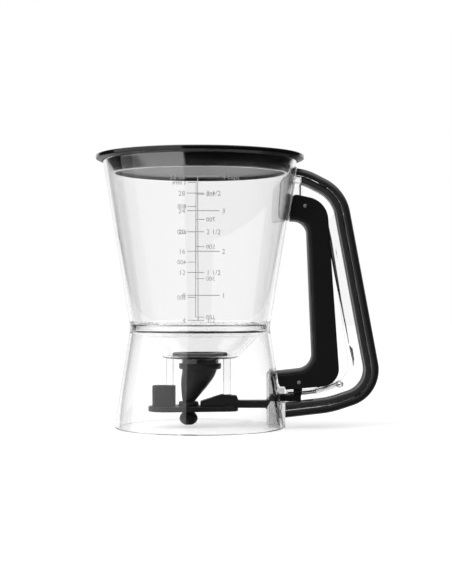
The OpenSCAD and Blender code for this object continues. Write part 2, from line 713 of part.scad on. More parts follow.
module trigger_body() {
    color([0.1, 0.1, 0.1]) difference() {
        union() {
            difference() {
                mid_slab(trigger_outline, trigger_w);
                mid_slab(cavity, 2 * cavity_half);
            }
            pin_bosses(pivot, plate_t / 2);
            pin_bosses(link, fork_out);
            // Cross ribs behind the finger face
            intersection() {
                for (i = [1 : rib_count])
                    let (t = i / (rib_count + 1),
                         at = trigger_corners[6] * (1 - t) + trigger_corners[5] * t)
                    translate([at[0], -cavity_half - 0.01, at[1] - rib_t / 2])
                        cube([trigger_wall + 4, 2 * cavity_half + 0.02, rib_t]);
                mid_slab(trigger_outline, trigger_w);
            }
            // Ledge that the spring's lower leg presses on
            translate([pivot[0] + ledge_x, -cavity_half - 0.01, leg_tip[1] - wire_d / 2 - slide_gap - rib_t])
                cube([6, cavity_half - plate_t / 2, rib_t]);
        }
        jug_body(cup_gap);
        skirt_cone(-skirt_gap, 1);
        translate([0, -FAR / 2, -FAR + cheek_top + cheek_gap]) cube([port_face_x + slide_gap, FAR, FAR]);
        for (at = [pivot, link])
            cross_pin(at, pin_r + (at == pivot ? run_gap : bond_gap), -FAR, FAR);
        // Slot in the top for the handle's plate and the spring's leg
        translate([pivot[0] - 12, -plate_t / 2 - wire_d - 2 * slide_gap - 0.5, pivot[1] + 3])
            cube([11.8, plate_t + wire_d + 3 * slide_gap + 1, 20]);
    }
}

// Half-round finger skin: [distance in front of the channel, y]
module trigger_skin() {
    profile = concat([[-bond_gap, trigger_half]],
                     [for (a = [0 : 15 : 180])
                         [-bond_gap - 0.5 - (skin_t - 0.5 - bond_gap) * pow(sin(a), 0.7), trigger_half * cos(a)]],
                     [[-bond_gap, -trigger_half]]);
    color([0.14, 0.14, 0.14]) difference() {
        lofted([for (s = finger_run) [for (q = profile)
            let (p = s[0] + q[0] * s[1]) [p[0], q[1], p[1]]]]);
        jug_body(cup_gap);
        skirt_cone(-skirt_gap, 1);
    }
}

// ---- pins and spring ----
pin_inset = 0.2;
module pivot_pin() {
    color([0.6, 0.6, 0.62]) cross_pin(pivot, pin_r, -trigger_half + pin_inset, trigger_half - pin_inset);
}
module link_pin() {
    color([0.6, 0.6, 0.62]) cross_pin(link, pin_r, -trigger_half + pin_inset, trigger_half - pin_inset);
}

// Torsion spring on the pivot's front boss: one leg up to the frame, one along the channel
coil_r = boss_r + slide_gap + wire_d / 2;
coil_y0 = -plate_t / 2 - slide_gap - wire_d / 2;
coil_pitch = wire_d + 0.1;
leg_up = pivot_drop - 17.2;
leg_bend_r = 1.3;
leg_down = 11.5;
last_turn = 75;
coil_end = [-coil_r * cos(last_turn), -coil_r * sin(last_turn)];
// Lower leg's tip in the XZ plane
leg_tip = pivot + coil_end + leg_down * [sin(last_turn), -cos(last_turn)];
coil_y1 = coil_y0 - coil_pitch * (spring_turns + last_turn / 360);
wire_sides = 8;

// Centre line of the wire: the hooked leg, the turns, the leg along the channel
function spring_path() = concat(
    [[pivot[0] - coil_r, plate_t / 2 - 0.4, pivot[1] + leg_up]],
    [for (a = [90 : -30 : 0])
        [pivot[0] - coil_r, coil_y0 + leg_bend_r * (1 - cos(a)),
         pivot[1] + leg_up - leg_bend_r * (1 - sin(a))]],
    [[pivot[0] - coil_r, coil_y0, pivot[1] + leg_up / 2]],
    [for (a = [0 : 15 : 360 * spring_turns + last_turn])
        [pivot[0] - coil_r * cos(a), coil_y0 - coil_pitch * a / 360, pivot[1] - coil_r * sin(a)]],
    [[(pivot[0] + coil_end[0] + leg_tip[0]) / 2, coil_y1, (pivot[1] + coil_end[1] + leg_tip[1]) / 2],
     [leg_tip[0], coil_y1, leg_tip[1]]]);

// Ring of the wire round a point of a path, square to the way through it
function wire_ring(path, i) =
    let (ahead = path[min(i + 1, len(path) - 1)],
         behind = path[max(i - 1, 0)],
         way = unit(ahead - behind),
         side = unit(cross(way, [0.6, 0.7, 0.05])),
         up = cross(side, way))
    [for (k = [0 : wire_sides - 1])
        let (a = 360 * k / wire_sides)
        path[i] + wire_d / 2 * (cos(a) * side + sin(a) * up)];

module return_spring() {
    path = spring_path();
    color([0.65, 0.65, 0.67]) lofted([for (i = [0 : len(path) - 1]) wire_ring(path, i)]);
}

// ---- lid ----
lid_gap = 0.15;
lid_rim_r = mouth_r + lid_overhang;
lid_seat_z = cup_h + lid_gap;
rim_edge_z = cup_h + 0.7;
rim_edge_top = rim_edge_z + lid_rim_h;
lid_top_z = rim_edge_top + 0.6;
plug_top_r = mouth_r - wall - 0.4;
plug_low_r = plug_top_r - lid_plug_taper;
plug_z = cup_h - lid_plug_depth;
panel_top = lid_top_z - lid_dish;

module lid_cap() {
    color([0.1, 0.1, 0.1]) rotate_extrude() polygon(rounded([
        [0, panel_top - lid_wall],
        [plug_low_r - lid_wall - 0.8, panel_top - lid_wall],
        [plug_low_r - lid_wall, plug_z],
        [plug_low_r, plug_z],
        [plug_top_r - 1, cup_h - 2.4],
        [plug_top_r, cup_h - 1.2],
        [plug_top_r, lid_seat_z],
        [mouth_r + 0.3, lid_seat_z],
        [mouth_r + 0.5, cup_h - 0.8],
        [mouth_r + 1.4, cup_h - 0.7],
        [lid_rim_r - 0.2, rim_edge_z],
        [lid_rim_r, rim_edge_top],
        [plug_top_r - 1.6, lid_top_z],
        [plug_low_r - 0.7, panel_top],
        [0, panel_top]],
        [0, 2.4, 0.5, 1.6, 0, 0.5, 0, 0, 0.3, 0.3, 0.9, 0.9, 2, 2, 0]));
}

cup();
skirt();
funnel_bowl();
guide_post_left();
guide_post_right();
nozzle();
handle_frame();
palm_grip();
cover_front();
cover_back();
pivot_pin();
return_spring();
trigger_body();
trigger_skin();
link_pin();
slider_arm();
lid_cap();
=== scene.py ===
"""Looks of the batter dispenser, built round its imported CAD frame.

A clear hourglass jug with a funnel bowl, a soft pinch nozzle, a sliding arm pulled by a squeeze
trigger, a bow handle and a press-in lid. Sizes are in millimetres and are turned into metres as the
meshes are made. +Z is up, the handle lies towards +X and the front faces -Y.
"""

import logging
import math
from dataclasses import dataclass
from enum import Enum
from functools import reduce

import bmesh
import bpy
import numpy as np
from bpy.types import Material, Mesh, Node, NodeSocket, NodeTree, Object
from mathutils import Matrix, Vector


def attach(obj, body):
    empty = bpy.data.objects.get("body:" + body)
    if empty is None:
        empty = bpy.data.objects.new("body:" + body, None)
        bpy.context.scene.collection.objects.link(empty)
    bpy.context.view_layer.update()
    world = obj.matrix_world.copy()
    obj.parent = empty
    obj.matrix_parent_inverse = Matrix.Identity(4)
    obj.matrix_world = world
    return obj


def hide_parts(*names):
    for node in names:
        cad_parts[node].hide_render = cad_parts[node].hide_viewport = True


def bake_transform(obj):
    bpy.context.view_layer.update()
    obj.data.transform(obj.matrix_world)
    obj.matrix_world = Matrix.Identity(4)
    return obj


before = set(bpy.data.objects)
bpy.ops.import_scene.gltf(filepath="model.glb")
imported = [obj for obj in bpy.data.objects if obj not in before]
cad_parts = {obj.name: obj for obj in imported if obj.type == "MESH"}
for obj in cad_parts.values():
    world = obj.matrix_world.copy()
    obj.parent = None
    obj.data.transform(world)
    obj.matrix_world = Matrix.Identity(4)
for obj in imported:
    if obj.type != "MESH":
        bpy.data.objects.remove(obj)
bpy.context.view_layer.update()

Pair = tuple[float, float]
Triple = tuple[float, float, float]
Marks = list[tuple[float, float, float, str, float]]
Sockets = bpy.types.bpy_prop_collection

MM = 0.001
AROUND, AROUND_PIN = 256, 48  # points round the jug, and round a pin or a post
CREASE, CAD_CREASE = 30, 28  # edges that turn by more degrees stay sharp
FLAT = 0.6  # CAD triangles that turn by fewer degrees lie in one face
FOLD = 35  # edges that turn by more degrees are rounded
WELD = 1e-6  # metres between points that are merged
ON_AXIS = 1e-6  # radius of a profile's end that is a pole
BOND = 0.02  # gap between parts that are bonded together
log = logging.getLogger("dispenser")


class Body(str, Enum):
    """The CAD bodies that pieces ride on."""

    VESSEL = "vessel"
    TRIGGER = "trigger"
    SLIDER = "slider"
    LID = "lid"


class Slot(str, Enum):
    """The record's material slots."""

    CLEAR = "clear_plastic"
    SILICONE = "silicone"
    GRIP = "soft_grip"
    CHARCOAL = "charcoal_plastic"
    BLACK = "black_plastic"
    GLOSS = "gloss_black"
    STEEL = "steel"


class Cut(str, Enum):
    """What one solid does to another."""

    JOIN = "UNION"
    REMOVE = "DIFFERENCE"
    KEEP = "INTERSECT"


# ---------------------------------------------------------------- outlines

def unit(v: np.ndarray) -> np.ndarray:
    """Vectors along the last axis scaled to length one."""
    return v / np.linalg.norm(v, axis=-1, keepdims=True)


def left_of(way: np.ndarray) -> np.ndarray:
    """Direction a quarter turn to the left of a way in a plane."""
    return np.stack([-way[..., 1], way[..., 0]], -1)


def corner_arc(a: np.ndarray, b: np.ndarray, c: np.ndarray, r: float, step: float) -> np.ndarray:
    """Rounds the corner b between a and c.

    The arc's centre lies on the corner's bisector at r / sin(half angle), and its stations are the
    centre less r times a normal that turns from one side's normal to the other's.

    Args:
        a, b, c: The corner b and its neighbours.
        r: Radius of the arc; 0 keeps the corner as one station with the mean normal.
        step: Largest turn between stations, in degrees.

    Returns:
        Rows of x, z, normal x, normal z, the normal on the left of the way.
    """
    into, out = unit(b - a), unit(c - b)
    n0, n1 = left_of(into), left_of(out)
    if r <= 0:
        return np.concatenate([b, unit(n0 + n1)])[None]
    half = math.acos(float(np.clip(-into @ out, -1, 1))) / 2
    turn = 1.0 if into[0] * out[1] - into[1] * out[0] > 0 else -1.0
    centre = b + unit(out - into) * r / math.sin(half)
    sweep = math.pi - 2 * half
    count = max(3, math.ceil(math.degrees(sweep) / step))
    angle = turn * sweep * np.arange(count + 1) / count
    n = np.stack([n0[0] * np.cos(angle) - n0[1] * np.sin(angle),
                  n0[0] * np.sin(angle) + n0[1] * np.cos(angle)], -1)
    return np.hstack([centre - turn * r * n, n])


@dataclass
class Run:
    """A line in a plane with the normal on its left at each station."""

    stations: np.ndarray

    @classmethod
    def through(cls, corners: list, radii: list, closed: bool = False, step: float = 5.0) -> "Run":
        """A line through corners, each rounded by its own radius.

        Args:
            corners: The corners, in order.
            radii: One radius for each corner, or for each inner one of an open line.
            closed: True for an outline that returns to its first corner.
            step: Largest turn between stations on an arc, in degrees.

        Returns:
            The line, straight between its arcs.
        """
        p = np.asarray(corners, float)
        n = len(p)
        if closed:
            rows = [corner_arc(p[i - 1], p[i], p[(i + 1) % n], radii[i], step) for i in range(n)]
            return cls(np.vstack(rows))
        rows = [corner_arc(p[i - 1], p[i], p[i + 1], radii[i - 1], step) for i in range(1, n - 1)]
        first, last = left_of(unit(p[1] - p[0])), left_of(unit(p[-1] - p[-2]))
        return cls(np.vstack([np.r_[p[0], first], *rows, np.r_[p[-1], last]]))

    @property
    def points(self) -> np.ndarray:
        """The stations' places."""
        return self.stations[:, :2]

    @property
    def normals(self) -> np.ndarray:
        """The stations' left normals."""
        return self.stations[:, 2:]

    def beside(self, distance: float) -> np.ndarray:
        """The line's points moved to its left by a distance."""
        return self.points + distance * self.normals

    def rings(self, profile: np.ndarray) -> np.ndarray:
        """A profile carried along the line: station + distance * normal, at the profile's own y.

        Args:
            profile: Rows of distance from the line and y.

        Returns:
            Points by station and by profile row, as x, y, z.
        """
        at = self.points[:, None] + profile[None, :, :1] * self.normals[:, None]
        y = np.broadcast_to(profile[None, :, 1], at.shape[:2])
        return np.stack([at[..., 0], y, at[..., 1]], -1)


def outline(corners: list, radii: list, step: float = 6.0, ease: float = 0.12) -> np.ndarray:
    """A closed outline with rounded corners and a point just outside the ends of each arc.

    The extra points lie on the straight sides, so a smooth normal is the side's own there.

    Args:
        corners: The corners, in order.
        radii: A radius for each corner.
        step: Largest turn between points, in degrees.
        ease: Distance of the extra points from the arc, in millimetres.

    Returns:
        The outline's points.
    """
    p = Run.through(corners, radii, closed=True, step=step).points
    ahead = np.roll(p, -1, 0) - p
    length = np.linalg.norm(ahead, axis=1)
    long = length > 4 * ease
    way = unit(ahead)
    blocks = np.stack([p, p + ease * way, p + (length[:, None] - ease) * way], 1)
    keep = np.stack([np.ones_like(long), long, long], 1)
    return blocks[keep]


# ---------------------------------------------------------------- meshes

def full_turn(count: int) -> np.ndarray:
    """Angles all the way round, the last a step before the first."""
    return np.linspace(0, 2 * math.pi, count, endpoint=False)


def grid_faces(rows: int, cols: int, wrap_rows: bool) -> np.ndarray:
    """Quads between the points of a grid that is numbered row by row and closed round its rows.

    Args:
        rows, cols: The grid's size.
        wrap_rows: True where the last row meets the first.

    Returns:
        Four point numbers for each quad.
    """
    i, j = np.meshgrid(np.arange(rows if wrap_rows else rows - 1), np.arange(cols), indexing="ij")
    up, over = (i + 1) % rows * cols, (j + 1) % cols
    i = i * cols
    return np.stack([i + j, i + over, up + over, up + j], -1).reshape(-1, 4)


def signed_volume(points: np.ndarray, quads: np.ndarray, caps: list) -> float:
    """Volume inside a closed surface, negative when its faces point inwards.

    It sums a . (b x c) / 6 over triangles fanned from each face's first point.

    Args:
        points: Rows of x, y, z.
        quads: Point numbers of the four-sided faces.
        caps: Point numbers of each end face.

    Returns:
        The volume.
    """
    fans = [quads[:, [0, 1, 2]], quads[:, [0, 2, 3]]]
    fans += [np.stack([np.full(len(c) - 2, c[0]), c[1:-1], c[2:]], 1) for c in caps]
    a, b, c = (points[np.vstack(fans)[:, k]] for k in range(3))
    return float(np.einsum("ij,ij->i", a, np.cross(b, c)).sum() / 6)


def closed_faces(grid: np.ndarray, ring: bool = False, capped: bool = True) -> list:
    """Faces of a grid whose columns run round it, turned to point outwards.

    Args:
        grid: Points by row and column.
        ring: True when the last row meets the first.
        capped: True when each end row is closed by one face.

    Returns:
        Point numbers of each face.
    """
    rows, cols = grid.shape[:2]
    quads = grid_faces(rows, cols, ring)
    caps = [np.arange(cols)[::-1], (rows - 1) * cols + np.arange(cols)] if capped else []
    if signed_volume(grid.reshape(-1, 3), quads, caps) < 0:
        quads, caps = quads[:, ::-1], [c[::-1] for c in caps]
    return quads.tolist() + [c.tolist() for c in caps]


def points_of(mesh: Mesh) -> np.ndarray:
    """A mesh's points as rows of x, y, z."""
    points = np.empty(len(mesh.vertices) * 3)
    mesh.vertices.foreach_get("co", points)
    return points.reshape(-1, 3)


def mesh_object(name: str, points: np.ndarray, faces: list, sharp: float = 0.0,
                weld: bool = False) -> Object:
    """Puts points in millimetres and faces into an object at the origin.

    Args:
        name: The piece's name.
        points: Rows of x, y, z in millimetres.
        faces: Point numbers of each face.
        sharp: Edges that turn by more degrees than this stay sharp; 0 keeps all smooth.
        weld: True to merge points that coincide, as at a pole.

    Returns:
        The new object.
    """
    mesh = bpy.data.meshes.new(name)
    mesh.from_pydata((points * MM).tolist(), [], faces)
    if weld:
        bm = bmesh.new()
        bm.from_mesh(mesh)
        bmesh.ops.remove_doubles(bm, verts=bm.verts, dist=WELD)
        bm.to_mesh(mesh)
        bm.free()
    shade(mesh, sharp)
    piece = bpy.data.objects.new(name, mesh)
    bpy.context.scene.collection.objects.link(piece)
    return piece


def shade(mesh: Mesh, sharp: float) -> None:
    """Shades a mesh smooth, with edges over an angle in degrees kept sharp when it isn't 0."""
    mesh.polygons.foreach_set("use_smooth", np.ones(len(mesh.polygons), bool))
    if sharp:
        mesh.set_sharp_from_angle(angle=math.radians(sharp))
    mesh.update()


def solid(name: str, grid: np.ndarray, ring: bool = False, sharp: float = CREASE,
          poles: bool = False) -> Object:
    """Closed solid from a grid of points whose columns run round it.

    Args:
        name: The piece's name.
        grid: Points by row and column, in millimetres.
        ring: True when the last row meets the first; else both end rows are capped.
        sharp: As for mesh_object.
        poles: True when the end rows are poles, which are merged instead of capped.

    Returns:
        The object, with its faces pointing outwards.
    """
    faces = closed_faces(grid, ring, not (ring or poles))
    return mesh_object(name, grid.reshape(-1, 3), faces, sharp, poles)


def turned(name: str, profile: np.ndarray, around: int = AROUND, sharp: float = 0.0,
           at: Pair = (0.0, 0.0), across: bool = False) -> Object:
    """Solid of revolution: a profile of radius and height at each angle round the axis.

    A profile that starts and ends on the axis closes in two poles; any other closes on itself.

    Args:
        name: The piece's name.
        profile: Rows of radius and height along the axis, in millimetres.
        around: Number of points round the axis.
        sharp: As for mesh_object.
        at: The axis' x and y, or its x and z when it lies across.
        across: True for an axis along Y, False for one along Z.

    Returns:
        The object.
    """
    angle, r = full_turn(around), profile[:, :1]
    u, v = at[0] + r * np.cos(angle), at[1] + r * np.sin(angle)
    height = np.broadcast_to(profile[:, 1:], u.shape)
    poles = profile[0, 0] < ON_AXIS
    grid = np.stack([u, height, v] if across else [u, v, height], -1)
    return solid(name, grid, ring=not poles, sharp=sharp, poles=poles)


def slab(name: str, side: np.ndarray, y0: float, y1: float) -> Object:
    """Plate along Y whose outline is rows of x and z."""
    return solid(name, np.stack([np.insert(side, 1, y, axis=1) for y in (y0, y1)]))


def bar(name: str, side: np.ndarray, x0: float, x1: float) -> Object:
    """Bar along X whose section is an outline of y and z."""
    return solid(name, np.stack([np.insert(side, 0, x, axis=1) for x in (x0, x1)]))


def block(name: str, low: tuple, high: tuple) -> Object:
    """Box between two corners, in millimetres."""
    (x0, y0, z0), (x1, y1, z1) = low, high
    return bar(name, np.array([[y0, z0], [y1, z0], [y1, z1], [y0, z1]], float), x0, x1)


def bake_modifiers(piece: Object) -> None:
    """Replaces a piece's mesh with what its modifiers make of it."""
    graph = bpy.context.evaluated_depsgraph_get()
    made = bpy.data.meshes.new_from_object(piece.evaluated_get(graph))
    old, piece.data = piece.data, made
    piece.modifiers.clear()
    bpy.data.meshes.remove(old)


def carve(target: Object, tool: Object, cut: Cut, sharp: float = CREASE) -> None:
    """Joins, removes or keeps a tool's solid in a target's, and deletes the tool.

    Args:
        target: The piece that is changed.
        tool: The solid that changes it.
        cut: What the tool does.
        sharp: As for mesh_object.
    """
    step = target.modifiers.new("cut", "BOOLEAN")
    step.operation, step.solver, step.object = cut.value, "EXACT", tool
    bake_modifiers(target)
    bpy.data.objects.remove(tool)
    shade(target.data, sharp)


def cad_copy(name: str, node: str) -> Object:
    """Copy of a CAD node with the corners of its loose triangles merged.

    Args:
        name: The piece's name.
        node: The CAD node.

    Returns:
        The object.
    """
    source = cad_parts[node].data
    faces = [list(face.vertices) for face in source.polygons]
    return mesh_object(name, points_of(source) / MM, faces, sharp=CAD_CREASE, weld=True)


def ease(piece: Object, edge: float) -> Object:
    """Makes a piece's flat faces whole and rounds its edges.

    Args:
        piece: A closed piece.
        edge: Radius of the rounding, in millimetres.

    Returns:
        The piece.
    """
    bm = bmesh.new()
    bm.from_mesh(piece.data)
    bmesh.ops.dissolve_limit(bm, angle_limit=math.radians(FLAT), verts=bm.verts, edges=bm.edges)
    bm.to_mesh(piece.data)
    bm.free()
    shade(piece.data, CAD_CREASE)
    step = piece.modifiers.new("eased_edges", "BEVEL")
    step.width, step.segments = edge * MM, 2
    step.limit_method, step.angle_limit = "ANGLE", math.radians(FOLD)
    step.use_clamp_overlap, step.miter_outer = False, "MITER_SHARP"
    piece.modifiers.new("even_normals", "WEIGHTED_NORMAL").keep_sharp = True
    bake_modifiers(piece)
    return piece


# ---------------------------------------------------------------- finishes

class Nodes:
    """A node tree with short ways to add, join and combine its nodes."""

    def __init__(self, tree: NodeTree) -> None:
        """Starts from a tree."""
        self.tree = tree

    @classmethod
    def of_new(cls, material: str) -> "Nodes":
        """The nodes of a new material of a name."""
        made = bpy.data.materials.new(material)
        made.use_nodes = True
        return cls(made.node_tree)

    @property
    def shader(self) -> Node:
        """A material's Principled BSDF."""
        return self.tree.nodes["Principled BSDF"]

    def feed(self, node: Node, inputs: dict) -> Node:
        """Gives inputs their values.

        Args:
            node: The node.
            inputs: A value or an output socket for each named or numbered input.

        Returns:
            The node.
        """
        for key, value in inputs.items():
            if isinstance(value, NodeSocket):
                self.tree.links.new(value, node.inputs[key])
            else:
                node.inputs[key].default_value = value
        return node

    def add(self, kind: str, inputs: dict | None = None, **settings: object) -> Node:
        """Adds a node.

        Args:
            kind: The node's type.
            inputs: As for feed.
            settings: The node's own settings.

        Returns:
            The node.
        """
        node = self.tree.nodes.new(kind)
        for key, value in settings.items():
            setattr(node, key, value)
        return self.feed(node, inputs or {})

    def math(self, operation: str, a: object, b: object = 0.0, c: object = 0.0) -> NodeSocket:
        """Output of a Math node."""
        return self.add("ShaderNodeMath", {0: a, 1: b, 2: c}, operation=operation).outputs[0]

    def product(self, *values: object) -> NodeSocket:
        """All values multiplied."""
        return reduce(lambda a, b: self.math("MULTIPLY", a, b), values)

    def most(self, *values: object) -> NodeSocket:
        """The largest of the values."""
        return reduce(lambda a, b: self.math("MAXIMUM", a, b), values)

    def outside(self, mask: object) -> NodeSocket:
        """1 less a mask."""
        return self.math("SUBTRACT", 1.0, mask)

    def rise(self, value: object, low: float, high: float, foot: float = 0.0,
             top: float = 1.0) -> NodeSocket:
        """Smooth step from foot to top as a value goes from low to high."""
        inputs = {0: value, 1: low, 2: high, 3: foot, 4: top}
        return self.add("ShaderNodeMapRange", inputs, interpolation_type="SMOOTHSTEP").outputs[0]

    def fall(self, value: object, low: float, high: float) -> NodeSocket:
        """Smooth step from 1 to 0 as a value goes from low to high."""
        return self.rise(value, low, high, 1.0, 0.0)

    def pick(self, mask: object, off: object, on: object) -> NodeSocket:
        """One number where a mask is 0 and another where it is 1."""
        return self.add("ShaderNodeMix", {0: mask, 2: off, 3: on}, data_type="FLOAT").outputs[0]

    def grey(self, level: object) -> NodeSocket:
        """A grey colour of a level."""
        return self.add("ShaderNodeCombineColor", {0: level, 1: level, 2: level}).outputs[0]

    def place(self) -> NodeSocket:
        """The object's own coordinates."""
        return self.add("ShaderNodeTexCoord").outputs["Object"]

    def split(self, vector: object) -> Sockets:
        """A vector's x, y and z."""
        return self.add("ShaderNodeSeparateXYZ", {0: vector}).outputs

    def scaled(self, vector: object, by: object) -> NodeSocket:
        """A vector or colour times a number or another vector."""
        return self.add("ShaderNodeVectorMath", {0: vector, 1: by}, operation="MULTIPLY").outputs[0]

    def radius(self, place: object) -> NodeSocket:
        """Distance from the Z axis."""
        flat = self.scaled(place, (1, 1, 0))
        return self.add("ShaderNodeVectorMath", {0: flat}, operation="LENGTH").outputs["Value"]

    def noise(self, place: object, scale: object, detail: float = 2.0,
              roughness: float = 0.5) -> NodeSocket:
        """Noise about 0.5."""
        inputs = {"Vector": place, "Scale": scale, "Detail": detail, "Roughness": roughness}
        return self.add("ShaderNodeTexNoise", inputs).outputs["Fac"]

    def bump(self, height: object, depth: float, strength: float) -> NodeSocket:
        """Normal of a height whose depth is in millimetres."""
        inputs = {"Height": height, "Distance": depth * MM, "Strength": strength}
        return self.add("ShaderNodeBump", inputs).outputs["Normal"]

    def straight_through(self, path: Sockets) -> NodeSocket:
        """1 for rays that have only been refracted, from a Light Path node's outputs."""
        return self.product(path["Is Transmission Ray"],
                            self.math("LESS_THAN", path["Glossy Depth"], 0.5))


class SurfaceGroup:
    """A node group that is built once and placed in each material with its own values."""

    NAME = ""
    INPUTS: dict[str, object] = {}
    OUTPUTS: tuple[str, ...] = ()

    @classmethod
    def surface(cls, n: Nodes, given: Sockets, place: NodeSocket) -> dict:
        """The group's outputs, from its inputs and the object's own coordinates."""
        raise NotImplementedError

    @classmethod
    def placed(cls, n: Nodes, values: dict) -> Sockets:
        """Places the group in a material, and builds it at its first use.

        Args:
            n: The material's nodes.
            values: A value for each input.

        Returns:
            The group's outputs.
        """
        tree = bpy.data.node_groups.get(cls.NAME)
        if tree is None:
            tree = bpy.data.node_groups.new(cls.NAME, "ShaderNodeTree")
            for name, start in cls.INPUTS.items():
                kind = "NodeSocketColor" if isinstance(start, tuple) else "NodeSocketFloat"
                socket = tree.interface.new_socket(name, in_out="INPUT", socket_type=kind)
                socket.default_value = start
            for name in cls.OUTPUTS:
                kind = "NodeSocketColor" if name == "Tint" else "NodeSocketFloat"
                tree.interface.new_socket(name, in_out="OUTPUT", socket_type=kind)
            inner = Nodes(tree)
            given = inner.add("NodeGroupInput").outputs
            inner.add("NodeGroupOutput", cls.surface(inner, given, inner.place()))
        return n.add("ShaderNodeGroup", values, node_tree=tree).outputs


class MouldedSurface(SurfaceGroup):
    """Moulded parts: a fine grain, and a roughness and shade that drift over the surface."""

    NAME = "moulded_surface"
    INPUTS = {"Colour": (0.5, 0.5, 0.5, 1), "Shade": 0.1, "Grain Scale": 2000.0,
              "Roughness": 0.5, "Drift": 0.1}
    OUTPUTS = ("Tint", "Roughness", "Height")
    BROAD_SCALE = 70.0

    @classmethod
    def surface(cls, n: Nodes, given: Sockets, place: NodeSocket) -> dict:
        """Drift = broad noise - 0.5, and Height = fine noise at Grain Scale.

        Tint = Colour * (1 + Drift * Shade), and Roughness = Roughness + Drift * the input Drift.

        Args:
            n: The group's nodes.
            given: Its inputs.
            place: The object's own coordinates.

        Returns:
            A socket for each output.
        """
        drift = n.math("SUBTRACT", n.noise(place, cls.BROAD_SCALE, 4.0), 0.5)
        level = n.math("MULTIPLY_ADD", drift, given["Shade"], 1.0)
        return {"Tint": n.scaled(given["Colour"], level),
                "Roughness": n.math("MULTIPLY_ADD", drift, given["Drift"], given["Roughness"]),
                "Height": n.noise(place, given["Grain Scale"], 3.0, 0.6)}


class BondZonePaintedShade(SurfaceGroup):
    """Bonded places of clear parts and the web's ridge: painted grey shade, a frost and ripples.
    Lengths are in metres.

    Each pair of limits is where a zone begins to end and where it has ended, or the reverse.
    """

    NAME = "bond_zone_painted_shade"
    INPUTS = {"Painted Shade": 0.7, "Pad": 0.0, "Tunnel": 0.0, "Seam": 0.0, "Ridge": 1.0}
    OUTPUTS = ("Tint", "Height", "Frost")
    CUP = (0.16397, 0.03676)  # the cup's radius is the first times z, plus the second
    PAD_OFF, PAD_Z = (0.0013, 0.0018), (0.1414, 0.1420)
    TUNNEL_X, TUNNEL_Y, TUNNEL_Z = (0.0448, 0.0456), (0.0112, 0.0116), (0.0405, 0.0412)
    SEAM_Z, SEAM_OFF = 0.0690, (0.0034, 0.0042)
    WEB = (0.1693, 0.1116)  # the web's x is the second, less the first times z
    WEB_OFF, WEB_Y = (0.0022, 0.0026), (-0.0018, -0.0016)
    RIPPLE_SCALE, RIPPLE_STRETCH = 320.0, (1.0, 1.0, 0.25)

    @classmethod
    def surface(cls, n: Nodes, given: Sockets, place: NodeSocket) -> dict:
        """Each zone is 1 inside its limits: pad on the cup, tunnel's frame, waist's seam, ridge.

        Tint = painted shade: white darkened to Painted Shade on pad and tunnel, to Painted Ridge
        Shade on the web's ridge.
        Height = noise stretched along Z on the tunnel and the seam. Frost = the pad, mottled.

        Args:
            n: The group's nodes.
            given: Its inputs.
            place: The object's own coordinates.

        Returns:
            A socket for each output.
        """
        x, y, z = n.split(place)
        off_cup = n.math("SUBTRACT", n.radius(place), n.math("MULTIPLY_ADD", z, *cls.CUP))
        off_seam = n.math("ABSOLUTE", n.math("SUBTRACT", z, cls.SEAM_Z))
        slope, foot = cls.WEB
        off_web = n.math("ABSOLUTE", n.math("MULTIPLY_ADD", z, slope, n.math("SUBTRACT", x, foot)))
        pad = n.product(n.fall(off_cup, *cls.PAD_OFF), n.rise(z, *cls.PAD_Z), given["Pad"])
        tunnel = n.product(n.fall(n.math("ABSOLUTE", y), *cls.TUNNEL_Y),
                           n.rise(x, *cls.TUNNEL_X), n.fall(z, *cls.TUNNEL_Z), given["Tunnel"])
        seam = n.product(n.fall(off_seam, *cls.SEAM_OFF), given["Seam"])
        ridge = n.product(n.fall(off_web, *cls.WEB_OFF), n.fall(y, *cls.WEB_Y))
        # Painted shade: white darkened where the clear walls and the web's edge should show dark
        # parts through them.
        film = n.product(n.outside(n.product(n.most(pad, tunnel), n.outside(given["Painted Shade"]))),
                         n.outside(n.product(ridge, n.outside(given["Ridge"]))))
        ripple = n.noise(n.scaled(place, cls.RIPPLE_STRETCH), cls.RIPPLE_SCALE)
        return {"Tint": n.grey(film), "Height": n.product(ripple, n.most(tunnel, seam)),
                "Frost": n.product(pad, n.math("MULTIPLY_ADD", ripple, 0.5, 0.75))}


@dataclass(frozen=True)
class Finish:
    """An opaque moulded or metal finish."""

    name: str
    slot: Slot
    colour: Triple
    roughness: float
    specular: float = 0.5
    drift: float = 0.08
    shade: float = 0.3
    grain_scale: float = 2500.0
    grain_depth: float = 0.02
    metallic: float = 0.0
    coat: float = 0.0

    def material(self) -> Material:
        """The material, built once.

        Returns:
            The material.
        """
        if self.name not in bpy.data.materials:
            n = Nodes.of_new(self.name)
            self.join(n, MouldedSurface.placed(n, {
                "Colour": (*self.colour, 1.0), "Shade": self.shade, "Drift": self.drift,
                "Grain Scale": self.grain_scale, "Roughness": self.roughness}))
        return bpy.data.materials[self.name]

    def join(self, n: Nodes, surface: Sockets) -> None:
        """Joins the shader to its surface.

        Args:
            n: The material's nodes.
            surface: The moulded surface's outputs.
        """
        n.feed(n.shader, {
            "Base Color": surface["Tint"], "Roughness": surface["Roughness"],
            "Normal": n.bump(surface["Height"], self.grain_depth, 0.6),
            "Metallic": self.metallic, "Specular IOR Level": self.specular,
            "Coat Weight": self.coat, "Coat Roughness": 0.04})

    def dress(self, piece: Object) -> None:
        """Puts the finish on a piece."""
        piece.data.materials.clear()
        piece.data.materials.append(self.material())


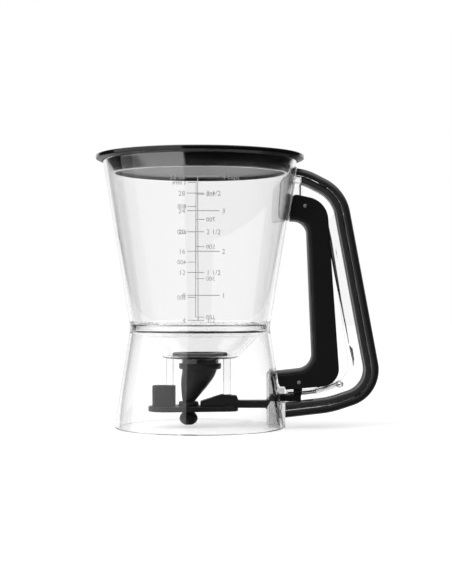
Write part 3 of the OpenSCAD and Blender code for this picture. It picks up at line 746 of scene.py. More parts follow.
@dataclass(frozen=True)
class ClearFinish(Finish):
    """Clear plastic: plain transmission, with a faint grey absorption along long paths."""

    specular: float = 0.4
    drift: float = 0.0
    ior: float = 1.49
    density: float = 4.0
    absorbed: Triple = (0.44, 0.45, 0.455)
    lamp_share: float = 0.97
    # Grey painted as shade on the cup's pad and the tunnel's frame; 1 paints none.
    film: float = 1.0
    pad: float = 0.0
    tunnel: float = 0.0
    seam: float = 0.0
    ripple: float = 0.10
    frost: float = 0.0
    # Grey painted as shade along the web's ridge, for its dark edge; 1 paints none.
    ridge: float = 1.0

    def join(self, n: Nodes, surface: Sockets) -> None:
        """Joins the shader to its surface; rays from lamps pass it as through a pale film.

        Args:
            n: The material's nodes.
            surface: The moulded surface's outputs.
        """
        rough = surface["Roughness"]
        n.feed(n.shader, {"Base Color": (*self.colour, 1.0), "Transmission Weight": 1.0,
                        "IOR": self.ior, "Specular IOR Level": self.specular})
        if self.pad + self.tunnel + self.seam:
            bond = BondZonePaintedShade.placed(n, {"Painted Shade": self.film, "Pad": self.pad, "Tunnel": self.tunnel,
                                       "Seam": self.seam, "Ridge": self.ridge})
            # The tint is painted shade on the pad, the tunnel's frame and the web's ridge.
            n.feed(n.shader, {"Base Color": bond["Tint"],
                            "Normal": n.bump(bond["Height"], self.ripple, 1.0)})
            rough = n.math("MULTIPLY_ADD", bond["Frost"], self.frost, rough)
        n.feed(n.shader, {"Roughness": rough})
        film = n.add("ShaderNodeBsdfTransparent", {"Color": (*[self.lamp_share] * 3, 1.0)})
        path = n.add("ShaderNodeLightPath").outputs
        mix = n.add("ShaderNodeMixShader", {0: path["Is Shadow Ray"], 1: n.shader.outputs[0],
                                            2: film.outputs[0]})
        absorb = n.add("ShaderNodeVolumeAbsorption", {"Color": (*self.absorbed, 1.0),
                                                      "Density": self.density})
        n.feed(n.tree.nodes["Material Output"], {"Surface": mix.outputs[0],
                                                 "Volume": absorb.outputs[0]})


@dataclass(frozen=True)
class LidFinish(Finish):
    """Gloss above and satin below, with a clear coat on the plug's wall only.

    It is satin below the panel within one radius, and under the rim beyond the plug's radius.
    """

    satin: float = 0.38
    within: float = 58.6
    below: float = 177.5
    plug_r: float = 64.3
    rim_low: float = 184.6
    coat_ior: float = 2.1

    def join(self, n: Nodes, surface: Sockets) -> None:
        """Joins the shader to its surface, and lets roughness and coat follow radius and height.

        Args:
            n: The material's nodes.
            surface: The moulded surface's outputs.
        """
        super().join(n, surface)
        place = n.place()
        r, z = n.radius(place), n.split(place)[2]
        under = n.product(n.math("LESS_THAN", r, self.within * MM),
                          n.math("LESS_THAN", z, self.below * MM))
        beyond = n.math("GREATER_THAN", r, self.plug_r * MM)
        eaves = n.product(beyond, n.math("LESS_THAN", z, self.rim_low * MM))
        bare = n.most(under, beyond, n.math("GREATER_THAN", z, self.rim_low * MM))
        n.feed(n.shader, {
            "Roughness": n.pick(n.most(under, eaves), surface["Roughness"], self.satin),
            "Coat Weight": n.math("MULTIPLY_ADD", bare, -self.coat, self.coat),
            "Coat IOR": self.coat_ior})


WHITE = (1.0, 1.0, 1.0)
CLEAR = ClearFinish("clear_plastic_finish", Slot.CLEAR, WHITE, 0.0)
# The jug's tunnel is painted a grey shade of 0.70.
CLEAR_JUG = ClearFinish("clear_jug_finish", Slot.CLEAR, WHITE, 0.0, film=0.70, tunnel=1.0,
                        seam=1.0, ripple=0.14)
# The frame's pad is painted a grey shade of 0.95, and the web's ridge a nearly black painted shade.
CLEAR_FRAME = ClearFinish("clear_frame_finish", Slot.CLEAR, WHITE, 0.0, film=0.95, pad=1.0,
                          frost=0.12, ridge=0.008)
INK = Finish("ink_finish", Slot.CLEAR, (0.58, 0.58, 0.59), 0.6, specular=0.2, shade=0.1)
SILICONE = Finish("silicone_finish", Slot.SILICONE, (0.008, 0.008, 0.0085), 0.42, specular=0.35,
                  grain_scale=1800)
GRIP = Finish("soft_grip_finish", Slot.GRIP, (0.010, 0.010, 0.0104), 0.44, grain_scale=3200,
              grain_depth=0.03)
CHARCOAL = Finish("charcoal_finish", Slot.CHARCOAL, (0.028, 0.028, 0.0285), 0.45)
BLACK = Finish("black_plastic_finish", Slot.BLACK, (0.0045, 0.0045, 0.0048), 0.42, specular=0.4)
GLOSS = LidFinish("gloss_black_finish", Slot.GLOSS, (0.004, 0.004, 0.0042), 0.045, specular=0.6,
                  drift=0.02, grain_scale=160, grain_depth=0.003, coat=1.0)
STEEL = Finish("steel_finish", Slot.STEEL, (0.66, 0.66, 0.67), 0.45, metallic=1.0,
               grain_scale=4000)


def fit(piece: Object, finish: Finish, body: Body, *nodes: str) -> Object:
    """Dresses a piece, makes it ride on its body and hides the CAD nodes that it stands for.

    Args:
        piece: The piece.
        finish: What it is dressed in.
        body: The CAD body that it rides on.
        nodes: The CAD nodes that it replaces.

    Returns:
        The piece.
    """
    finish.dress(piece)
    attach(piece, body.value)
    if nodes:
        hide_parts(*nodes)
    return piece


# ---------------------------------------------------------------- jug

@dataclass
class Jug:
    """Clear hourglass body with its arched side opening, funnel bowl and guide posts."""

    cup_h: float = 183.8
    mouth_r: float = 66.9
    waist_r: float = 48.65
    waist_z: float = 66.2
    waist_h: float = 5.9
    base_r: float = 58.9
    wall: float = 2.5
    bowl_wall: float = 2.3
    bowl_z: float = 47.5
    bowl_bends: Pair = (40.4, 25.6)
    bowl_rim: float = 0.6
    outlet_r: float = 12.2
    collar_r: float = 13.9
    collar_h: float = 3.4
    post_r: float = 2.5
    posts: tuple = (("post_tall", -20.9, 16.0, "guide_post_left"),
                    ("post_short", 18.6, 18.4, "guide_post_right"))
    port_half: float = 8.8
    port_wall: float = 2.2
    port_top: float = 37.8
    port_corner: float = 6.0
    port_face_x: float = 58.3
    port_inner_x: float = 46.6
    port_inner_r: float = 5.0
    port_reveal: float = 0.3
    cheek_top: float = 27.4
    sill_z: float = 17.3
    sill_t: float = 2.0
    port_sill_z: float = 12.8
    far: float = 90.0

    @property
    def waist_top(self) -> float:
        """Height of the waist band's upper edge."""
        return self.waist_z + self.waist_h

    def radius(self, z: np.ndarray) -> np.ndarray:
        """Outer radius at heights: straight cones above and below the waist band."""
        return np.interp(z, [0, self.waist_z, self.waist_top, self.cup_h],
                         [self.base_r, self.waist_r, self.waist_r, self.mouth_r])

    def slid(self, ring: np.ndarray, way: np.ndarray, gap: float) -> np.ndarray:
        """A ring slid along a way to radius(z) + gap, by six Newton steps.

        Args:
            ring: Rows of x, y, z.
            way: The way's x and z.
            gap: Distance that stays between the ring and the wall.

        Returns:
            The ring on the wall.
        """
        way = unit(way)
        for _ in range(6):
            out = np.hypot(ring[:, 0], ring[:, 1])
            miss = out - self.radius(ring[:, 2]) - gap
            step = miss / (ring[:, 0] / out * way[0])
            ring = ring - step[:, None] * np.array([way[0], 0, way[1]])
        return ring

    def arch(self, grow: float, sill: float) -> np.ndarray:
        """Outline of y and z of the side opening, grown by a distance, down to a sill."""
        half, top, corner = self.port_half + grow, self.port_top + grow, self.port_corner + grow
        return Run.through([[-half, sill], [half, sill], [half, top], [-half, top]],
                           [0, 0, corner, corner], closed=True, step=6).points

    def shell(self) -> Object:
        """Cup and skirt as one wall, with the tunnel of the side opening let into it.

        Returns:
            The object.
        """
        in_r, lip, far = self.waist_r - self.wall, self.wall / 3, self.far
        wall = turned("jug_shell", outline(
            [[self.base_r - self.wall, 0], [self.base_r, 0], [self.waist_r, self.waist_z],
             [self.waist_r, self.waist_top], [self.mouth_r, self.cup_h],
             [self.mouth_r - self.wall, self.cup_h], [in_r, self.waist_top], [in_r, self.waist_z]],
            [lip, lip, 0.8, 3, lip, lip, 3, 0.8]))
        slope = (self.base_r - self.waist_r) / self.waist_z
        cone = turned("cone", np.array([
            [0, -1], [self.base_r + slope - self.port_reveal, -1],
            [self.waist_r - self.port_reveal, self.waist_z], [0, self.waist_z]]))
        carve(cone, block("cheeks", (0, -far, -2), (far, far, self.cheek_top)), Cut.JOIN)
        liner = bar("liner", self.arch(self.port_wall, 0.3), self.port_inner_x, self.port_face_x)
        under = bar("under", self.arch(0, -3), 0, self.port_face_x - self.sill_t)
        for tool, cut in ((self.rounded_end(), Cut.KEEP), (cone, Cut.KEEP), (under, Cut.REMOVE),
                          (bar("mouth", self.arch(0, self.sill_z), 0, far), Cut.REMOVE)):
            carve(liner, tool, cut)
        hole = bar("hole", self.arch(self.port_wall / 2, self.port_sill_z), 30, far)
        carve(wall, hole, Cut.REMOVE)
        carve(wall, liner, Cut.JOIN)
        return wall

    def rounded_end(self) -> Object:
        """Block across the jug whose upper edge at the tunnel's inner end is rounded."""
        low, far, top = self.port_inner_x, self.far, self.port_top + self.port_wall
        side = Run.through([[low, -1], [far, -1], [far, top], [low, top]],
                           [0, 0, 0, self.port_inner_r], closed=True, step=6).points
        return slab("rounded_end", side, -far, far)

    def bowl(self) -> Object:
        """Funnel bowl: a rounded run and the same run offset by the wall, with a collar under it.

        A full round joins the two runs along the rim.

        Returns:
            The object.
        """
        half, (upper, lower) = self.bowl_wall / 2, self.bowl_bends
        rim_r, rim_z = self.waist_r - self.wall - BOND, self.waist_top - self.bowl_rim
        run = Run.through([[rim_r, rim_z], [rim_r, self.waist_z + 0.1], [upper, self.waist_z - 3.6],
                           [lower, self.bowl_z], [self.outlet_r, self.bowl_z]], [3.2, 4, 5.5])
        under, inside = run.points, run.beside(-self.bowl_wall)
        under[0, 1] = inside[0, 1] = rim_z - half
        foot = self.bowl_z - self.collar_h
        collar = [[self.collar_r, self.bowl_z], [self.collar_r, foot], [self.outlet_r, foot]]
        a = np.radians(np.arange(170, 5, -10))
        rim = np.column_stack([rim_r - half - half * np.cos(a), rim_z - half + half * np.sin(a)])
        profile = np.vstack([under[:-1], collar, inside[::-1], rim])
        return turned("funnel_bowl_clear", profile, sharp=35)

    def post(self, name: str, x: float, end_z: float) -> Object:
        """Guide post with a rounded lower end, hanging from the bowl's underside."""
        top = self.bowl_z + 1 - BOND
        half = Run.through([[0, end_z], [self.post_r, end_z], [self.post_r, top], [0, top]],
                           [0.8, 0.05]).points
        return turned(name, half, AROUND_PIN, sharp=50, at=(x, 0.0))

    def build(self) -> list[Object]:
        """Makes and dresses the jug's pieces.

        Returns:
            The pieces.
        """
        pieces = [fit(self.shell(), CLEAR_JUG, Body.VESSEL, "cup", "skirt"),
                  fit(self.bowl(), CLEAR, Body.VESSEL, "funnel_bowl")]
        for name, x, end_z, node in self.posts:
            pieces.append(fit(self.post(name, x, end_z), CLEAR, Body.VESSEL, node))
        return pieces


# ---------------------------------------------------------------- volume scales

class Side(Enum):
    """The wall a scale is printed on, as the sign of its y."""

    FRONT = -1
    BACK = 1


@dataclass
class VolumeScale:
    """Thin printed scale on the cup's outer face: a line, ticks and figures."""

    jug: Jug
    name: str
    side: Side
    line_x: float
    top_z: float
    foot_z: float
    marks: Marks
    stroke: float = 0.55
    gap: float = 0.005
    film: float = 0.03
    figure_h: float = 3.3

    def wrap(self, across: np.ndarray, lift: np.ndarray, z: np.ndarray) -> np.ndarray:
        """Lays flat points on the cone: the angle is across / radius, and lift adds to the radius.

        Args:
            across: Distance to the right of the axis, seen from outside.
            lift: Distance off the wall.
            z: Height.

        Returns:
            Points as x, y, z.
        """
        r = self.jug.radius(z)
        angle, sign = across / r, self.side.value
        out = sign * (r + lift)
        return np.stack([-out * np.sin(angle), out * np.cos(angle), z], -1)

    def stroke_mesh(self, x0: float, x1: float, z0: float, z1: float) -> tuple[np.ndarray, list]:
        """A strip between two places, as a closed film with a column every 2 mm.

        Args:
            x0, x1: Its ends across the scale.
            z0, z1: Its edges.

        Returns:
            Its points and its faces.
        """
        x = np.linspace(x0, x1, max(2, math.ceil((x1 - x0) / 2) + 1))[:, None]
        lift = np.array([[self.gap, self.gap, self.film, self.film]])
        x, z, lift = np.broadcast_arrays(x, np.array([[z0, z1, z1, z0]]), lift)
        grid = self.wrap(x, lift, z)
        return grid.reshape(-1, 3), closed_faces(grid)

    def figure_mesh(self, text: str, x: float, z: float, align: str) -> tuple[np.ndarray, list]:
        """A figure's outline made a thin mesh, then laid on the wall.

        Args:
            text: The figure.
            x: The side of the figure that align names.
            z: Height of its middle.
            align: LEFT or RIGHT.

        Returns:
            Its points and its faces.
        """
        curve = bpy.data.curves.new("figure", "FONT")
        curve.body, curve.size, curve.align_x = text, self.figure_h * 1.4, align
        curve.extrude, curve.resolution_u = self.film / 2, 2
        maker = bpy.data.objects.new("figure", curve)
        bpy.context.scene.collection.objects.link(maker)
        graph = bpy.context.evaluated_depsgraph_get()
        mesh = bpy.data.meshes.new_from_object(maker.evaluated_get(graph))
        across, up, lift = points_of(mesh).T
        faces = [list(face.vertices) for face in mesh.polygons]
        bpy.data.objects.remove(maker)
        bpy.data.meshes.remove(mesh)
        return self.wrap(x + across, lift + self.film / 2 + self.gap,
                         z + up - self.figure_h / 2), faces

    def build(self) -> Object:
        """Joins the line, the ticks and the figures in one piece, and dresses it.

        Returns:
            The piece.
        """
        half = self.stroke / 2
        parts = [self.stroke_mesh(self.line_x - half, self.line_x + half, self.foot_z, self.top_z)]
        for z, left, right, text, label_x in self.marks:
            if right > left:
                parts.append(self.stroke_mesh(left, right, z - half, z + half))
            align = "RIGHT" if label_x < self.line_x else "LEFT"
            parts.append(self.figure_mesh(text, label_x, z, align))
        starts = np.cumsum([0] + [len(p) for p, _ in parts[:-1]])
        faces = [[int(s) + v for v in face] for s, (_, fs) in zip(starts, parts) for face in fs]
        piece = mesh_object(self.name, np.vstack([p for p, _ in parts]), faces)
        piece.data.polygons.foreach_set("use_smooth", np.zeros(len(piece.data.polygons), bool))
        return fit(piece, INK, Body.VESSEL)


def ounce_marks(line_x: float) -> Marks:
    """Ticks of the front scale: ounces on the left, cups on the right, whole cups longer.

    Args:
        line_x: Place of the scale's line.

    Returns:
        Rows of height, left end, right end, figure and the figure's near side.
    """
    rows = [(167.5, "32 oz", "4 cups"), (156.8, "28", "3 1/2"), (145.6, "24", "3"),
            (132.1, "20", "2 1/2"), (119.5, "16", "2"), (105.8, "12", "1 1/2"), (90.9, "8", "1"),
            (74.5, "4", "1/2")]
    marks = []
    for z, ounces, cups in rows:
        right = line_x + (3.9 if "/" in cups else 14.2)
        marks += [(z, line_x - 7.0, right, ounces, line_x - 8.1), (z, 0.0, 0.0, cups, right + 1.6)]
    return marks


def millilitre_marks(line_x: float) -> Marks:
    """Ticks of the back scale, on alternate sides of its line.

    Args:
        line_x: Place of the scale's line.

    Returns:
        Rows of height, left end, right end, figure and the figure's near side.
    """
    rows = [(173.9, "1 litre"), (165.2, "900"), (156.1, "800"), (146.5, "700"), (137.2, "600"),
            (126.4, "500"), (115.0, "400"), (103.0, "300"), (89.3, "200"), (75.0, "100")]
    return [(z, line_x - 6.5, line_x, text, line_x - 7.8) if k % 2 else
            (z, line_x, line_x + 6.1, text, line_x + 7.2) for k, (z, text) in enumerate(rows)]


# ---------------------------------------------------------------- nozzle

@dataclass
class Nozzle:
    """Soft pinch nozzle: a grommet in the outlet, a leaning body, a neck and a bulb."""

    jug: Jug
    collar_z: float = 44.1
    floor_z: float = 49.8
    lip_r: float = 19.0
    lip_t: float = 2.2
    flange_r: float = 14.5
    flange_z: float = 39.98
    wall: float = 1.6
    neck_x: float = -7.9
    neck_r: float = 4.0
    neck_z: float = 11.3
    arm_z: float = 18.2
    bulb_r: float = 6.3
    bulb_z: float = 6.1
    bulb_h: float = 4.9
    around: int = 64

    def body_knots(self) -> np.ndarray:
        """Height, centre and radius at points down the body, from the flange to the neck's foot.

        Returns:
            Rows of the three, from distances below the flange, shares of the lean and radii.
        """
        foot = self.neck_r - self.jug.outlet_r
        knots = np.array([
            [0, 0.02532, -0.2], [3.2, 0.12, -0.6], [6.4, 0.25, -1.2], [9.3, 0.40, -2.2],
            [12.2, 0.53, -3.3], [15.2, 0.68, -4.7], [18.4, 0.83, -6.1], [21.2, 0.95, foot + 0.7],
            [23.0, 1, foot], [26.0, 1, foot], [self.flange_z - self.neck_z, 1, foot]])
        return knots * [-1, self.neck_x, 1] + [self.flange_z, 0, self.jug.outlet_r]

    @staticmethod
    def smooth(knots: np.ndarray, steps: int) -> np.ndarray:
        """Rows on a cubic through the knots, with slopes of half the step between neighbours.

        Args:
            knots: Rows to pass through.
            steps: Number of rows for each knot.

        Returns:
            The rows.
        """
        wide = np.vstack([2 * knots[0] - knots[1], knots, 2 * knots[-1] - knots[-2]])
        slope = (wide[2:] - wide[:-2]) / 2
        t = (np.arange(steps) / steps)[None, :, None]
        a, b, m0, m1 = knots[:-1, None], knots[1:, None], slope[:-1, None], slope[1:, None]
        rows = ((2 * t**3 - 3 * t**2 + 1) * a + (t**3 - 2 * t**2 + t) * m0
                + (3 * t**2 - 2 * t**3) * b + (t**3 - t**2) * m1)
        return np.vstack([rows.reshape(-1, knots.shape[1]), knots[-1:]])

    def rings(self) -> np.ndarray:
        """Height, centre and radius of every ring, down the outside and up the passage.

        Returns:
            Rows of the three.
        """
        top, floor, collar = self.floor_z + self.lip_t, self.floor_z + BOND, self.collar_z - BOND
        hole, bore = self.jug.outlet_r - BOND, self.jug.outlet_r - self.wall
        grommet = Run.through(
            [[bore, top], [self.lip_r, top], [self.lip_r, floor], [hole, floor], [hole, collar],
             [self.flange_r, collar], [self.flange_r, self.flange_z],
             [self.jug.outlet_r - 0.2, self.flange_z]],
            [1.2, 0.5, 0, 0, 0.5, 1.3], step=15).points
        outer = np.column_stack([grommet[:, 1], np.zeros(len(grommet)), grommet[:, 0]])
        body = self.smooth(self.body_knots(), 5)
        a = np.radians(np.linspace(44, -64, 22))
        bulb = np.column_stack([self.bulb_z + self.bulb_h * np.sin(a), np.full(22, self.neck_x),
                                self.bulb_r * np.cos(a)])
        inner = body[::-1] - [0, 0, self.wall]
        inner[:, 2] = np.maximum(inner[:, 2], self.neck_r - self.wall)
        drip = [[bulb[-1, 0], self.neck_x, self.neck_r - self.wall]]
        return np.vstack([outer, body, bulb, drip, inner, [[top, 0, bore]]])

    def build(self) -> Object:
        """Sweeps the rings round the leaning centre line, and dresses the nozzle.

        Returns:
            The piece.
        """
        z, centre, r = np.hsplit(self.rings(), 3)
        angle = full_turn(self.around)
        x, y = centre + r * np.cos(angle), r * np.sin(angle)
        grid = np.stack([x, y, np.broadcast_to(z, x.shape)], -1)
        piece = solid("nozzle_soft", grid, ring=True, sharp=50)
        SILICONE.dress(piece)
        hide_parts("nozzle")
        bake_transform(piece)
        return piece


# ---------------------------------------------------------------- lid

@dataclass
class Lid:
    """Gloss press-in lid: a dished panel, a tapered plug and an overhanging rim."""

    jug: Jug
    rim_r: float = 71.8
    plug_top_r: float = 64.0
    plug_low_r: float = 60.4
    plug_z: float = 174.5
    wall: float = 2.4
    panel_z: float = 178.9
    top_z: float = 187.7

    def build(self) -> Object:
        """Turns the lid's section about its axis and dresses it.

        Returns:
            The piece.
        """
        h, m, top, low = self.jug.cup_h, self.jug.mouth_r, self.plug_top_r, self.plug_low_r
        inner, under = low - self.wall, self.panel_z - self.wall
        corners = [[0, under], [inner - 0.8, under], [inner, self.plug_z], [low, self.plug_z],
                   [top, h - 1.2], [top, h + 0.15], [m + 0.3, h + 0.15], [m + 0.5, h - 0.8],
                   [m + 1.4, h - 0.7], [self.rim_r - 0.2, h + 0.7], [self.rim_r, h + 3.3],
                   [top - 1.6, self.top_z - 0.1], [low - 0.7, self.panel_z], [0, self.panel_z]]
        radii = [0.9, 0.4, 1.5, 0.5, 0.05, 0.05, 0.3, 0.3, 0.9, 0.9, 2, 2]
        piece = turned("lid_gloss", Run.through(corners, radii, step=8).points, sharp=45)
        return fit(piece, GLOSS, Body.LID, "lid_cap")


# ---------------------------------------------------------------- bow handle

@dataclass
class Bow:
    """Bow handle: a clear frame, a soft palm grip outside it and two covers inside."""

    jug: Jug
    width: float = 22.0
    seam: float = 0.5
    grip_t: float = 5.9
    grip_power: float = 2.6
    grip_gap: float = 1.2
    cover_t: float = 4.0
    core_in: float = 2.4
    core_out: float = 3.6
    core_w: float = 8.0
    plate_t: float = 3.0
    start_z: float = 173.0
    shoulder_z: float = 159.9
    heel_z: float = 26.3
    foot_x: float = 58.6
    cover_x0: float = 69.53
    fork_low: tuple = (50.0, -5.4, 17.8)
    fork_high: tuple = (77.95, 5.4, 22.4)
    rail_t: float = 3.6
    rail_line: tuple = ((60.2, 25.15), (79.85, 26.3), (97.5, 33.0))
    roof_y: Pair = (-7.6, -4.2)
    hook: Pair = (95.949, 29.9)
    hook_y: float = -7.2
    pad_gap: float = 0.12
    pad_t: float = 0.3
    pad_z: Pair = (140.0, 182.0)
    root_y: float = 8.3
    edge: float = 0.1
    web_edge: tuple = ((85.0, 149.5), (101.6, 46.5), (100.9, 36.6), (105.2, 36.6), (108.4, 46.0),
                       (93.9, 121.0), (93.4, 143.0), (93.4, 149.5))
    web_slope: float = 70.0
    web_prism: tuple = ((139.0, 86.6, 88.8), (129.0, 88.3, 90.9), (116.6, 90.4, 92.9),
                        (104.2, 92.7, 94.9), (87.6, 96.1, 97.7), (71.1, 99.6, 100.8),
                        (57.5, 102.3, 103.0))
    web_drop: tuple = ((56.5, 102.7, 103.3), (54.5, 102.9, 105.2), (50.4, 103.8, 105.9),
                       (46.2, 104.8, 106.4), (42.1, 105.3, 105.9))

    def run(self) -> Run:
        """Seam line of the bow, clockwise from the jug to the skirt, with its outside on the left.

        Returns:
            The line.
        """
        jug_x, shoulder_x, heel_x = (float(self.jug.radius(z)) + out for z, out in (
            (self.start_z, 0), (self.shoulder_z, 32.2), (self.heel_z, 65.2)))
        return Run.through(
            [[jug_x - 3, self.start_z], [jug_x + 7.2, self.start_z - 1.5],
             [shoulder_x, self.shoulder_z], [heel_x, self.heel_z], [heel_x - 30.6, 16.1],
             [self.jug.port_face_x - 4, 12.1]], [30, 26, 20, 60], step=2.5)

    def along(self, profile: np.ndarray, gap: float | None = None) -> np.ndarray:
        """A profile swept along the bow, from a face near the jug to the plane at the foot.

        The end rings slide along the bow to their faces, and rings beyond the faces are dropped.

        Args:
            profile: Rows of distance from the seam and y.
            gap: Distance of the first face from the cup's wall; without it the first face is the
                plane at cover_x0.

        Returns:
            The rings.
        """
        run = self.run()
        rings = run.rings(profile)

        def on_plane(k: int, x: float) -> np.ndarray:
            """Ring k slid along the line to the plane at x."""
            way = unit(run.points[k] - run.points[k - 1])
            step = (x - rings[k][:, 0]) / way[0]
            return rings[k] + step[:, None] * np.array([way[0], 0, way[1]])

        if gap is None:
            past = rings[:, :, 0].min(1) > self.cover_x0 + 0.2
            first = on_plane(int(np.argmax(past)), self.cover_x0)
        else:
            first = self.jug.slid(rings[0], run.points[1] - run.points[0], gap)
        keep = rings[:, :, 0].min(1) > first[:, 0].max() + 0.3
        keep[-1] = False
        return np.concatenate([first[None], rings[keep], on_plane(-1, self.foot_x)[None]])

    def grip(self) -> Object:
        """Palm grip with a groove for the core.

        Its face is a superellipse across the bow: (y / half) ** n + (rise / height) ** n = 1.

        Returns:
            The object.
        """
        a = np.radians(np.linspace(0, 180, 37))
        base, half, power = self.seam + BOND, self.width / 2, 2 / self.grip_power
        brim = base + 1.2
        face = np.column_stack([brim + (self.grip_t - brim) * np.sin(a).clip(0) ** power,
                                half * np.sign(np.cos(a)) * np.abs(np.cos(a)) ** power])
        depth, y = self.core_out + BOND, self.core_w / 2 + BOND
        back = [[base, -half + 0.5], [base, -y], [depth, -y], [depth, y], [base, y],
                [base, half - 0.5]]
        return solid("grip_soft", self.along(np.vstack([face, back]), self.grip_gap), sharp=40)

    def cover(self, name: str, side: int) -> Object:
        """One cover along the bow: its face leans out from the seam, and it has the fork's groove.

        Args:
            name: The piece's name.
            side: -1 for the front and 1 for the back.

        Returns:
            The object.
        """
        near, far, core_d = -self.seam - BOND, -self.cover_t, -self.core_in - BOND
        y_in, y_out, core_y = self.plate_t / 2 + BOND, self.width / 2 - 0.5, self.core_w / 2 + BOND
        section = Run.through(
            [[near, core_y], [near, y_out - 0.6], [0.86 * far, y_out], [far, y_out - 0.5],
             [far, y_in], [core_d, y_in], [core_d, core_y]],
            [0.05, 0.25, 0.7, 0.4, 0.4, 0.05, 0.05], closed=True, step=6).points
        piece = solid(name, self.along(section * [1, side]), sharp=40)
        carve(piece, block("groove", self.fork_low, self.fork_high), Cut.REMOVE, sharp=40)
        return piece

    def frame(self) -> Object:
        """The CAD frame with a prism along the web, a roof along the rail and a curled end.

        Returns:
            The object.
        """
        piece = cad_copy("frame_clear", "handle_frame")
        half, clear = self.plate_t / 2, self.plate_t / 2 + 1.9
        for y0, y1 in ((-clear, -half), (half, clear)):
            carve(piece, slab("old_edge", np.array(self.web_edge), y0, y1), Cut.REMOVE)
        for rows in (self.web_prism, self.web_drop):
            carve(piece, self.prism(np.array(rows)), Cut.JOIN)
        rail = Run.through(self.rail_line, [60], step=2)
        for side in (-1, 1):
            for wedge in self.roof():
                carve(piece, solid("wedge", rail.rings(wedge * [1, side])), Cut.REMOVE)
        for name, profile, cut in self.curl(half):
            tool = turned(name, profile, AROUND_PIN, CREASE, self.hook, across=True)
            carve(piece, tool, cut)
        carve(piece, self.pad_back(), Cut.REMOVE)
        piece.modifiers.new("merged", "WELD").merge_threshold = 0.01 * MM
        bake_modifiers(piece)
        return ease(piece, self.edge)

    def prism(self, rows: np.ndarray) -> Object:
        """Ridge in front of the web: a triangle across, with its apex forward.

        Args:
            rows: Height, left x and right x at stations down the web.

        Returns:
            The object.
        """
        z, left, right = rows.T
        base = np.full(len(z), 0.3 - self.plate_t / 2)
        rise = (right - left) / 2 * math.tan(math.radians(self.web_slope))
        corners = [(left, base), ((left + right) / 2, base - 0.3 - rise), (right, base)]
        return solid("web_prism", np.stack([np.stack([x, y, z], -1) for x, y in corners], 1))

    def roof(self) -> list[np.ndarray]:
        """Sections of the two wedges that leave the rail a roof with its ridge forward."""
        (front, back), low, over = self.roof_y, -self.rail_t, 0.6
        ridge, y0, y1 = [low / 2, front], front - 0.9, back + 0.9
        return [np.array([ridge, [over, y0], [over, y1], [0.05, back]]),
                np.array([ridge, [low - 0.05, back], [low - over, y1], [low - over, y0]])]

    def curl(self, half: float) -> list[tuple[str, np.ndarray, Cut]]:
        """Room cleared round the hook's end, and the curled end with a rounded nose put there."""
        tip = self.hook_y
        room = np.array([[0, tip - 0.5], [3.0, tip - 0.5], [3.0, tip + 1.3], [0, tip + 1.3]])
        curl = np.array([[0, -half], [2.45, -half], [2.45, tip + 1.2], [1.8, tip],
                         [1.15, tip + 1.2], [0, tip + 1.2]])
        return [("room", room, Cut.REMOVE), ("curl", curl, Cut.JOIN)]

    def pad_back(self) -> Object:
        """What is taken off the saddle pad's back beside the bow's root, to leave it thin."""
        z, t, y = np.repeat(self.pad_z, 2), self.pad_t, self.root_y
        inner = self.jug.radius(z) + self.pad_gap
        shell = turned("thin", np.column_stack([inner + [t, 2, 2, t], z]))
        carve(shell, block("root", (0, -y, z[0] - 10), (90, y, z[-1] + 8)), Cut.REMOVE)
        return shell

    def build(self) -> list[Object]:
        """Makes and dresses the handle's pieces.

        Returns:
            The pieces.
        """
        return [fit(self.frame(), CLEAR_FRAME, Body.VESSEL, "handle_frame"),
                fit(self.grip(), GRIP, Body.VESSEL, "palm_grip"),
                fit(self.cover("cover_front_shell", -1), CHARCOAL, Body.VESSEL, "cover_front"),
                fit(self.cover("cover_back_shell", 1), CHARCOAL, Body.VESSEL, "cover_back")]


# ---------------------------------------------------------------- trigger and arm

